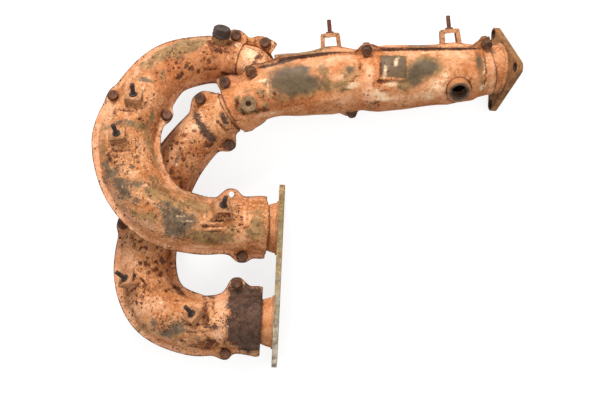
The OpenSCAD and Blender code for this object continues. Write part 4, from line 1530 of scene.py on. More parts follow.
@dataclass
class StudBrackets:
    """The small brackets on the shields and the threaded stud on each."""

    layout: Layout
    shields: dict[str, Shield]
    width: float = 18.5
    sheet: float = 2.0
    tall_sheet: float = 4.6
    stud_d: float = 5.0
    stud_length: float = 15.0
    pitch: float = 0.8
    thread_depth: float = 0.32

    def seats(self) -> list[StudSeat]:
        """Every bracket's seat, in the order of the nodes."""
        roll = 90 + self.layout.seam_roll
        return [
            StudSeat("upper", 6.8, 14, (0, 1, 0)), StudSeat("upper", 5.95, 14, (-0.2, 1, 0)),
            StudSeat("upper", 2.33, -38), StudSeat("lower", 4.8, 38, (-0.4, 1, 0)),
            StudSeat("lower", 3.02, -20, (-1, 0.7, 0)), StudSeat("collector", 4.2, roll),
            StudSeat("collector", 9.75, roll)]

    def outline(self, seat: StudSeat) -> Array:
        """A bracket's outline: a wedge if its stud leans, or a bridge, which is tall on the collector."""
        if seat.lean:
            return np.array([[10, 0], [9, 3], [-5, 12], [-7.5, 0]], float)
        if seat.tall:
            return np.array([[11.5, 0], [10.5, 17.5], [-10.5, 17.5], [-11.5, 0]], float)
        return np.array([[11, 0], [9, 11], [-9, 11], [-11, 0]], float)

    def place(self, seat: StudSeat) -> tuple[Axes, float]:
        """Where a bracket stands.

        Args:
            seat: The bracket's seat.

        Returns:
            Its axes, with x along the bracket, y away from the shield and z across it, and how fast
            the shield falls away beside it.
        """
        shield = self.shields[seat.shield]
        centre, side, front = (v[0] for v in shield.frame_at(np.array([seat.u])))
        t = math.radians(seat.angle)
        w = float(between(seat.u, shield.table, 1))
        h = float(between(seat.u, shield.table, 3 if abs(seat.angle) > 90 else 2))
        lift = self.layout.fit + self.layout.sheet
        x, z = w * math.sin(t), math.copysign(lift + (h - lift) * abs(math.cos(t)), math.cos(t))
        out = unit(side * (math.sin(t) / w) + front * (math.cos(t) / h))
        travel = np.cross(side, front)
        lean = travel if seat.lean is None else unit(np.array(seat.lean, float))
        long = unit(lean - out * (lean @ out))
        fall = (1 - float(long @ travel) ** 2) / (2 * w)
        return Axes(centre + side * x + front * z, long, np.cross(long, out)), fall

    def build(self, finishes: Finishes) -> None:
        """Builds each bracket and its stud.

        Args:
            finishes: The part's materials.
        """
        for number, seat in enumerate(self.seats(), 1):
            self._bracket(number, seat, finishes)
            self._stud(number, seat, finishes)

    def _bracket(self, number: int, seat: StudSeat, finishes: Finishes) -> None:
        """A bent strip: the outline's rounded path carried across the width, with the strip's wall.

        Args:
            number: The bracket's number.
            seat: Where it stands.
            finishes: The part's materials.
        """
        lay = self.layout
        axes, fall = self.place(seat)
        path = self.outline(seat)
        for row in (0, -1):
            path[row, 1] += lay.seat + 2 * lay.fit - fall * path[row, 0] ** 2
        path = path[::-1]
        run = np.concatenate([[0], np.cumsum(np.linalg.norm(np.diff(path, axis=0), axis=1))])
        s = np.linspace(0, run[-1], 60)
        line = softened(np.stack([np.interp(s, run, path[:, 0]), np.interp(s, run, path[:, 1])], 1), 2.2, 0)
        across = np.linspace(-1, 1, 24)
        grid = np.concatenate([
            np.repeat(line[:, None], len(across), 1),
            np.repeat((across * self.width / 2)[None, :, None], len(s), 0)], -1)
        outer = axes.put(grid)
        out = normals_of(outer, False)
        outer = outer + out * (0.12 * ripple(outer, 5.0, number))[..., None]
        inner = outer - out * (self.tall_sheet if seat.tall else self.sheet)
        kept = np.ones((len(s) - 1, len(across) - 1), bool)
        points = np.concatenate([outer.reshape(-1, 3), inner.reshape(-1, 3)])
        faces = shell_faces(kept, False)
        piece = make_piece(f"bent_bracket_{number}", points, faces, f"stud_bracket_{number}")
        finishes.dress(piece, "bracket")

    def _stud(self, number: int, seat: StudSeat, finishes: Finishes) -> None:
        """A threaded stud: its radius falls and rises once a pitch, and the dip climbs as it turns.

        Args:
            number: The stud's number.
            seat: Where its bracket stands.
            finishes: The part's materials.
        """
        axes, _ = self.place(seat)
        outline = self.outline(seat)
        middle = (outline[1] + outline[2]) / 2
        top = unit(outline[1] - outline[2])
        y = np.cross(axes.z, axes.x)
        out = -axes.x * top[1] + y * top[0]
        foot = axes.origin + axes.x * middle[0] + y * middle[1]
        stand = Axes(foot + out * self.layout.fit, axes.x * top[0] + y * top[1], out)
        rows, sides = 110, 24
        z = np.linspace(2.0, self.stud_length - 0.6, rows)
        angle = np.arange(sides) * 2 * math.pi / sides
        phase = np.abs(np.mod(z[:, None] / self.pitch - angle[None] / (2 * math.pi), 1.0) - 0.5) * 2
        r = self.stud_d / 2
        neck = np.array([[0.5, 0.0], [r + 1.7, 0.0], [r + 2, 0.3], [r + 1.9, 1.2], [r + 1.4, 1.5],
                         [r - 0.1, 1.6]])
        tip = np.array([[r - 0.8, self.stud_length - 0.2], [0.5, self.stud_length]])
        heights = np.concatenate([neck[:, 1], z, tip[:, 1]])
        radius = np.concatenate([np.repeat(neck[:, :1], sides, 1), r - self.thread_depth * phase,
                                 np.repeat(tip[:, :1], sides, 1)])
        local = np.stack([radius * np.cos(angle), radius * np.sin(angle),
                          np.repeat(heights[:, None], sides, 1)], -1)
        points = stand.put(local)
        piece = make_piece(f"threaded_stud_{number}", points, grid_faces(len(heights), sides),
                           f"mounting_stud_{number}", crease=60.0)
        finishes.dress(piece, "red_stud" if seat.tall else "stud")


@dataclass
class SensorBung:
    """The threaded ring that stands on the collector for a sensor."""

    layout: Layout
    u: float = 4.37
    side: float = -36.0
    outside: float = 13.5
    bore: float = 8.25
    height: float = 11.0
    thread: float = 0.45

    def seat(self) -> Axes:
        """The ring's foot, with its axis along z."""
        route = self.layout.collector()
        place = np.array([self.u])
        centre, side, front = stations(route.at(place), route.along(place), -self.side)
        r = float(Collector(self.layout).radius(self.u))
        return Axes(centre[0] + front[0] * (r + 0.2), side[0], front[0])

    def build(self, finishes: Finishes) -> None:
        """Builds the ring: its section closed on itself, with threads as deep as half their pitch.

        Args:
            finishes: The part's materials.
        """
        h, r, b = self.height, self.outside, self.bore
        threads = [[b + self.thread * (k % 2), h - 1.2 - self.thread * k, 0] for k in range(20)]
        profile = [[r - 0.4, 0, 0], [r, 0.4, 0], [r, h * 0.5, 0], [r, h - 1.0, 0], [r - 0.3, h - 0.4, 0],
                   [r - 1.0, h, 0], [r - 2.6, h, 0], [r - 2.9, h - 0.5, 0], [r - 3.6, h - 0.5, 0],
                   [b + 0.9, h - 0.6, 0], [b + 0.1, h - 0.9, 0], *threads, [b, 0.3, 0], [b + 0.4, 0, 0]]
        points, faces = turned(profile, 96, self.seat(), wrap=True, rough=0.08, seed=7)
        # Painted shade and soot: the rows of the bore and its threads carry the scorch mark.
        sooty_and_shaded = np.repeat([row[0] < b + 1.0 for row in profile], 96) * 1.6
        rusty = np.repeat([b + 1.0 <= row[0] < b + 3.0 for row in profile], 96) * 0.8
        piece = make_piece("sensor_ring", points, faces, "oxygen_sensor_bung",
                           {Mark.SCORCH.value.key: sooty_and_shaded, Mark.SLATE.value.key: rusty})
        finishes.dress(piece, "ring")


@dataclass
class PlugAndBoss:
    """The hexagonal plug on the upper loop and the boss it is screwed into."""

    layout: Layout
    u: float = 9.35
    angle: float = 60.0
    boss_d: float = 18.0
    boss_height: float = 8.5
    flats: float = 17.0

    def seat(self) -> Axes:
        """The boss's foot on the pipe, with its axis along z."""
        route = self.layout.upper()
        place = np.array([self.u])
        centre, side, front = (v[0] for v in stations(route.at(place), route.along(place)))
        t = math.radians(self.angle)
        out = side * math.sin(t) + front * math.cos(t)
        return Axes(centre + out * (self.layout.pipe_r + 0.2), np.cross(side, front), out)

    def build(self, finishes: Finishes) -> None:
        """Builds the boss as a ring, and the plug with its washer face and chamfered hexagon.

        Args:
            finishes: The part's materials.
        """
        foot = self.seat()
        r, h, bore = self.boss_d / 2, self.boss_height, self.boss_d / 2 - 3
        boss = [[r - 0.3, 0, 0], [r, 0.3, 0], [r, h - 0.6, 0], [r - 0.6, h, 0], [bore + 0.3, h, 0],
                [bore, h - 0.3, 0], [bore, 0.3, 0], [bore + 0.3, 0, 0]]
        points, faces = turned(boss, 72, foot, wrap=True, rough=0.1, seed=3)
        finishes.dress(make_piece("threaded_boss", points, faces, "plug_boss"), "outlet")
        corner = self.flats / 2 / math.cos(math.pi / 6)
        shank = bore - 0.2
        plug = [[0.8, -6, 0], [shank - 0.6, -6, 0], [shank, -5.4, 0], [shank, 0, 0], [r + 0.7, 0, 0],
                [r + 1, 0.3, 0], [r + 0.9, 1.8, 0], [r + 0.1, 2.4, 0], [corner, 2.5, 1], [corner, 4.0, 1],
                [corner, 6.5, 1], [corner, 8.4, 1], [corner - 0.5, 9.1, 1], [corner - 1.4, 9.7, 1],
                [corner - 2.4, 10, 1],
                [5.0, 9.9, 0], [3.6, 9.2, 0], [0.8, 9.1, 0]]
        points, faces = turned(plug, 96, foot.moved(h + self.layout.fit), self.flats, rough=0.16, seed=5)
        finishes.dress(make_piece("hex_plug", points, faces, "plug"), "stud")


@dataclass
class WeldNut:
    """The flat hexagonal nut on the collector's front shield."""

    shield: Shield
    u: float = 0.9
    turn: float = 18.0
    gap: float = 0.6
    flats: float = 17.0
    bore: float = 3.0
    height: float = 3.5

    def build(self, finishes: Finishes) -> None:
        """Builds the nut as a ring with a hexagonal outside.

        Args:
            finishes: The part's materials.
        """
        centre, side, front = (v[0] for v in self.shield.frame_at(np.array([self.u])))
        t = math.radians(self.turn)
        lift = self.shield.layout.fit + self.shield.layout.sheet
        w, tall = (float(between(self.u, self.shield.table, column)) for column in (1, 2))
        out = unit(side * (math.sin(t) / w) + front * (math.cos(t) / tall))
        rise = lift + (tall - lift) * math.cos(t)
        foot = centre + side * (w * math.sin(t)) + front * rise + out * self.gap
        axes = Axes(foot, unit(side - out * (side @ out)), out)
        corner, h, b = self.flats / 2 / math.cos(math.pi / 6), self.height, self.bore
        profile = [[b + 0.4, 0, 0], [corner - 0.3, 0, 1], [corner, 0.3, 1], [corner, h - 1.0, 1],
                   [corner - 0.5, h - 0.4, 1], [corner - 1.5, h, 1], [b + 1.6, h, 0], [b + 1.0, h - 0.3, 0],
                   [b, h - 1.0, 0], [b, 0.4, 0]]
        points, faces = turned(profile, 72, axes, self.flats, wrap=True, rough=0.12, seed=9)
        piece = make_piece("flat_weld_nut", points, faces, "weld_nut")
        finishes.dress(piece, "plate")


# Spots on the shields, in millimetres along X and Y, placed and then scaled to the part.
# In these tables the pale and cream spots also paint highlights, and the ember and scorch spots also paint
# shade in dents, creases and gaps.
UPPER_PRESSES: list[Spot] = spots([
    (-42, 56.2, 2, 26.4, 3, 1.5), (-46.9, 56, 2.4, 24.2, 3, -0.6), (-36.4, 77.3, 9.9, 1.4, 33, 1.1),
    (-30.6, 71, 9.9, 1.3, 38, -0.9), (-35, 71.9, 8.8, 1.3, 35, 0.8), (-28, 39.3, 7.7, 1.7, -12, 0.7),
    (-155.2, 180.6, 1.8, 5, -17, 1.4), (-160.7, 169.4, 1.8, 6.6, 8, 1.3), (-187.6, 169.3, 2.2, 3.9, 3, 1.1),
    (-150.3, 169.8, 2.2, 6.6, -7, 0.9), (-169.1, 137.2, 1.7, 11, 7, 1.3),
    (-161.8, 133.1, 1.7, 12.1, 7, 1.2), (-164.6, 122, 2.2, 3.3, 3, 0.9), (-190.9, 121.9, 2.6, 5.5, 13, 1.1),
    (-174.6, 149, 8.8, 1.5, 8, 0.7), (-74.8, 54.2, 13.2, 1.5, 1, 1.5), (-74.5, 48.2, 14.3, 1.5, 5, 1.4),
    (-74.7, 51.1, 13.2, 1.2, 3, -0.9), (-85.6, 50.9, 2.9, 2.9, 0, 1), (-64.5, 68.4, 1.5, 8.8, 3, 0.9),
    (-85.1, 64.1, 1.4, 8.8, 3, 0.6), (-121.4, 211.8, 3.5, 2.2, 28, -1.1),
    (-116.7, 215.8, 1.8, 3.3, -22, -1), (-109.8, 222.2, 2.2, 1.4, 23, -1),
    (-99.9, 220.4, 2.4, 1.7, 33, -1.1), (-92.3, 222.9, 2.4, 1.4, -17, -1),
    (-86.8, 222.1, 2.4, 1.7, 3, -1.1), (-81.4, 223.4, 2.2, 1.5, 3, -1), (-73.5, 219.4, 3.3, 1.7, -7, -1.1),
    (-67.9, 217.5, 4, 1.9, -7, -1.4), (-63.5, 215.5, 2.4, 2, 0, -1.2), (-58, 216.8, 2.6, 1.5, 3, -1.1),
    (-97.1, 231.5, 2.6, 1.5, 3, -0.7), (-86.3, 235.3, 5.5, 1.3, 3, -0.5),
    (-157.1, 223.3, 3.3, 2.2, 23, -0.5), (-141.8, 224, 2.2, 1.8, 0, -0.5),
    (-123.2, 225.9, 3.3, 1.7, 13, -0.5), (-121.2, 61.4, 4.4, 2.2, 23, -0.5),
    (-106.6, 54.4, 8.8, 1.1, 3, 0.5), (-80, 244, 14.3, 4.4, -1, 0.9), (-79.2, 248.8, 9.9, 2.2, 3, -0.6),
    (-138.2, 121, 2.2, 8.8, 15, 0.6), (-147.2, 76.7, 11, 1.1, -22, 0.4), (-135.9, 70.6, 9.9, 1.3, -27, 0.5),
    (-177.8, 171.9, 8.8, 1.1, -5, -0.8), (-180.3, 129, 8.8, 1.1, 6, -0.8)])
UPPER_MARKS: dict[Mark, list[Spot]] = {
    Mark.RUSSET: spots([
        (-90, 226, 46.2, 17.6, -5, 1.1), (-137, 209, 22, 28.6, 38, 0.8), (-64, 219, 15.4, 9.9, 3, 1),
        (-151, 164, 9.9, 24.2, 3, 0.5), (-176, 185, 11, 13.2, 33, 0.4), (-133, 127, 8.8, 28.6, 18, 0.6),
        (-67, 247, 15.4, 6.6, -7, 0.7), (-131, 88, 17.6, 8.8, -27, 0.35), (-182, 130, 13.2, 28.6, 3, 0.3),
        (-36, 38, 15.4, 8.8, 3, 0.5), (-104, 241, 24.2, 4.4, 13, 0.5), (-45, 65, 3.3, 24.2, 3, 0.5)]),
    Mark.SLATE: spots([
        (-195, 112, 4.4, 6.6, 3, 1.1), (-190, 101, 5, 6.6, -17, 0.9), (-178, 94, 7.7, 6.6, 0, 1.2),
        (-174, 83, 8.8, 8.8, -42, 1.2), (-184, 106, 6.6, 5.5, 0, 0.8), (-158, 94, 7.7, 5.5, 3, 0.8),
        (-165.2, 112.1, 2.9, 2.2, -17, 1.1), (-177.4, 113.7, 6.6, 1.5, 13, 0.8),
        (-115, 54, 13.2, 13.2, 0, 1.25), (-123, 61, 8.8, 8.8, 0, 1), (-102, 57, 8.8, 9.9, 0, 0.8),
        (-121, 43, 7.7, 4.4, 3, 1), (-179, 159, 8.8, 3.3, 8, 0.9), (-193.5, 154.7, 3.3, 2.2, 3, 0.7),
        (-160, 76, 6.6, 5.5, -37, 0.7), (-153, 205.9, 6.6, 2, -5, 1), (-161, 208, 6.6, 3.3, 3, 0.7),
        (-168.5, 160.2, 3.3, 4.4, 13, 0.6), (-56.6, 234.4, 1.8, 3.7, 3, 1), (-130, 72, 9.9, 5.5, 3, 0.6),
        (-147.9, 166.7, 2, 5.5, 3, 0.8), (-196.2, 94.2, 2.2, 7.7, 23, 0.6), (-51.8, 250, 3.3, 3.3, 0, 0.8)]),
    Mark.OLIVE: spots([
        (-199, 128, 3.1, 8.8, 8, 1), (-167, 157, 11, 4.4, 3, 1), (-154, 152, 5.5, 8.8, 38, 0.9),
        (-196.7, 152.4, 5.5, 3.3, 3, 0.7), (-148, 167, 3.3, 8.8, -5, 0.9), (-158, 223, 8.8, 6.6, 3, 0.8),
        (-139, 214, 4.4, 6.6, 3, 0.7), (-124, 242, 22, 9.9, 25, 0.95), (-109, 250, 24.2, 5.5, 15, 0.9),
        (-143, 236, 8.8, 6.6, 28, 0.7), (-145, 88, 11, 8.8, 0, 0.7), (-133, 82, 13.2, 8.8, -17, 0.75),
        (-145, 100, 8.8, 4.4, -22, 0.7), (-146, 59, 11, 6.6, -27, 0.8), (-91, 40, 26.4, 7.7, -1, 1),
        (-73, 38, 15.4, 6.6, 1, 1.15), (-92, 73, 15.4, 13.2, 0, 0.55), (-109, 73, 22, 16.5, 3, 0.45),
        (-29, 58, 9.9, 17.6, 3, 1), (-30, 44, 8.8, 6.6, 3, 0.8), (-56, 64, 6.6, 28.6, 3, 0.5),
        (-160, 62, 11, 3.3, -35, 0.7), (-171.9, 64.6, 8.8, 2.8, -39, 0.6), (-140, 121, 3.3, 15.4, 23, 0.45),
        (-149, 135, 4.4, 13.2, 23, 0.5), (-160, 197, 11, 6.6, 3, 0.3)]),
    Mark.EMBER: spots([
        (-121.4, 211.8, 4.2, 2.2, 28, 1.2), (-116.7, 215.8, 1.7, 3.3, -22, 1.1),
        (-109.8, 222.2, 2.2, 1.4, 23, 1.1), (-99.9, 220.4, 2.4, 1.7, 33, 1.2),
        (-92.3, 222.9, 2.4, 1.4, -17, 1.1), (-86.8, 222.1, 2.4, 1.7, 3, 1.2),
        (-81.4, 223.4, 2.2, 1.5, 3, 1.1), (-73.5, 219.4, 3.3, 1.7, -7, 1.2),
        (-67.9, 217.5, 4.2, 2, -7, 1.4), (-63.5, 215.5, 2.4, 2.2, 0, 1.3), (-58, 216.8, 2.6, 1.7, 3, 1.2),
        (-89.2, 251.6, 3.3, 3.9, 0, 1.2), (-78, 252, 11, 3.9, 3, 1.2), (-79, 244, 14.3, 3.3, -3, 1),
        (-66.2, 252.7, 5, 4.4, 0, 0.6), (-118.3, 239.3, 8.8, 1.5, 8, 0.6), (-97.1, 231.5, 2.4, 1.5, 3, 0.8),
        (-86.3, 235.3, 4.4, 1.3, 3, 0.7), (-160.4, 163.9, 2.6, 2.4, 0, 1.1), (-187.5, 168.2, 2, 3.1, 3, 1),
        (-155.2, 181.7, 1.3, 4.4, -17, 0.9), (-153.4, 166.4, 2.2, 5.5, 3, 0.6),
        (-161.3, 122.2, 2.6, 2, 3, 1), (-158.9, 116.8, 2.2, 1.5, 3, 0.9), (-164.9, 129.7, 1.4, 1.3, 0, 0.9),
        (-170.8, 138.2, 1, 9.9, 7, 0.8), (-163.5, 135.2, 1, 9.9, 7, 0.8),
        (-190.9, 120.8, 2.9, 5.5, 13, 1.15), (-184, 115.6, 2.4, 1.5, 3, 0.9),
        (-184.3, 122.2, 2.8, 1.1, 3, 0.7), (-177.9, 173, 9.9, 1.3, -5, 1.2),
        (-180.2, 128.4, 9.9, 1.3, 6, 1.2), (-73.8, 57, 11, 1.3, 3, 1.2), (-74.7, 50.9, 12.1, 1, 3, 1.1),
        (-85.6, 50.9, 3.3, 2.4, 3, 1.3), (-74.4, 46, 12.1, 0.9, 5, 0.9), (-28.3, 44.8, 8.8, 1.3, 3, 0.6),
        (-25.4, 53.7, 3.3, 2.2, 3, 0.7), (-22.4, 35.2, 2.2, 2.2, 0, 0.8), (-132.6, 119.1, 1.7, 2.6, 3, 1),
        (-145.9, 120.7, 2.6, 1.3, 3, 0.6), (-119.8, 79, 4.4, 2.2, -17, 0.6),
        (-147, 73.4, 5.5, 1.8, -27, 0.6), (-153.3, 90.7, 5.5, 1.8, 3, -0.6),
        (-123.5, 233.6, 5.5, 1.1, 3, 0.5)]),
    Mark.PALE: spots([
        (-210, 129, 6.6, 37.4, 8, 1.1), (-181, 69, 6.6, 28.6, 43, 1.1), (-203, 166, 5.5, 17.6, -17, 0.8),
        (-165, 219, 4.4, 28.6, -35, 0.9), (-126.3, 246.6, 28.6, 2.4, 15, 0.9),
        (-194, 151, 8.8, 33, 3, 0.45), (-186, 91, 11, 22, 33, 0.35), (-135, 47, 33, 4.4, -19, 0.8),
        (-85, 26, 26.4, 3.3, -1, 0.8), (-23, 49, 3.3, 28.6, 3, 0.5), (-152, 186, 11, 13.2, 0, 0.5),
        (-157, 131, 6.6, 13.2, 3, 0.6), (-173.8, 108.4, 5.5, 3.3, 3, 0.8),
        (-164.8, 103.3, 5.5, 3.3, -27, 0.8), (-185.4, 146.3, 4.4, 3.3, 3, 0.4),
        (-131, 93, 11, 3.3, -22, 0.7), (-151.1, 90.8, 4.4, 2.4, -7, 1), (-144.9, 75.7, 6.6, 2.6, -17, 0.9),
        (-195, 173, 5.5, 6.6, 0, 0.6), (-56, 75.3, 5.5, 5.5, 0, 0.6), (-47, 37, 13.2, 5.5, 3, 0.5),
        (-87, 74, 4.4, 6.6, 3, 0.6), (-93.3, 26.5, 13.2, 2.2, 3, 0.9), (-42, 57.3, 2.2, 24.2, 3, 0.9),
        (-70, 86, 11, 3.3, 3, 0.3), (-173, 163.3, 3.3, 1.1, 3, 0.5)]),
    Mark.CREAM: spots([
        (-147.9, 93.1, 3.3, 1.5, 3, 0.8), (-166, 105.5, 3.3, 1.8, -27, 0.8),
        (-130.4, 69.8, 4.4, 1.1, -7, 0.6), (-92.3, 28.1, 9.9, 1.3, 1, 1), (-110.2, 60.8, 6.6, 0.8, 3, 0.7),
        (-104.5, 55.6, 7.7, 0.9, 3, 0.7), (-159.5, 106.9, 3.3, 1.1, 3, 0.6),
        (-59.6, 251.9, 3.3, 3.3, 0, 0.9), (-144.4, 234.9, 1.7, 1.1, 3, 0.8),
        (-175.2, 89.7, 1.4, 1.8, 0, 0.7), (-57.4, 227.8, 2.2, 4.4, 3, 0.6)]),
    Mark.SPECK: spots([
        (-99, 230, 44, 17.6, 3, 0.75), (-142, 214, 24.2, 19.8, 0, 0.5), (-83, 224, 33, 8.8, 3, 0.9),
        (-53, 59, 33, 33, 0, 0.35), (-151, 153, 19.8, 24.2, 0, 0.35), (-120, 78, 49.5, 33, -17, 0.45),
        (-181, 97, 22, 27.5, 0, 0.4), (-41, 43, 22, 15.4, 3, 0.4)]),
}
LOWER_PRESSES: list[Spot] = spots([
    (-149.7, -12.3, 1.4, 11, 45, 1.3), (-155.1, -15.8, 1.4, 9.9, 45, -0.8),
    (-145.6, -5.5, 1.4, 12.1, 45, 1), (-156.9, 0.5, 9.9, 1.4, 41, 0.8), (-144.1, 8.8, 6.6, 1.3, 43, 0.6),
    (-83, -43.3, 2.2, 12.1, 3, -1.4), (-78, -44.2, 1.5, 13.2, 3, 1.2), (-91.7, -57.4, 13.2, 1.7, 3, -1.1),
    (-90.4, -62.3, 14.3, 1.7, 1, 1.3), (-94.6, -66.9, 11, 1.1, 3, -0.6), (-70.8, -59.2, 4.4, 3.3, 3, 1),
    (-72, -77, 6.6, 4.4, 3, -0.8), (-57.8, -78.4, 9.9, 1.7, 11, 1), (-55, -49, 3.3, 33, 3, 0.7),
    (-47, -48, 3.3, 30.8, 3, -0.5), (-118.7, 126.3, 2.2, 12.1, -21, -1.3),
    (-124.5, 109.5, 2.2, 5.5, -12, -1), (-114.1, 122.1, 1.8, 11, -21, 0.9),
    (-70.8, 159.2, 1.3, 7.7, 41, -1.3), (-73.9, 155.7, 1.5, 6.6, 41, 0.8),
    (-88.6, 164.9, 6.6, 2.2, -42, 0.4), (-89.1, 150.7, 5.5, 3.3, -47, -0.5),
    (-78.6, 186.3, 5.5, 1.4, 63, 0.9), (-73, 183.2, 5.5, 1.3, 63, -0.8), (-68.8, 188.9, 5.5, 1.3, 63, 0.8),
    (-82.8, 181.7, 3.3, 1.4, 3, 0.8), (-156.5, 41.2, 2.2, 2.2, 0, -0.8), (-166.1, 34.1, 2.6, 4.4, 3, -0.8),
    (-156.1, 31.3, 5.5, 2.2, 13, -0.9), (-161.4, 26.7, 2.2, 3.3, 3, -0.7), (-148.3, 5.3, 2.9, 2.2, 0, -0.8),
    (-137.5, 9.1, 3.3, 2.2, 3, -0.9), (-138.2, -0.8, 2.6, 2.2, 0, -0.9), (-132.5, -4.9, 3.1, 2.6, 0, -1),
    (-146.9, -2.3, 2.2, 2.2, 0, -0.7), (-115.4, -18.4, 5.5, 2.4, -27, -0.9),
    (-109.7, -23.7, 4.4, 2.2, -27, -0.8), (-161.8, -35.9, 5.5, 3.3, 43, -0.6),
    (-155.5, -30.1, 2.2, 2.2, 0, -0.6), (-131, -43, 22, 15.4, 3, 0.6), (-152, -66, 11, 11, 0, -0.4)])
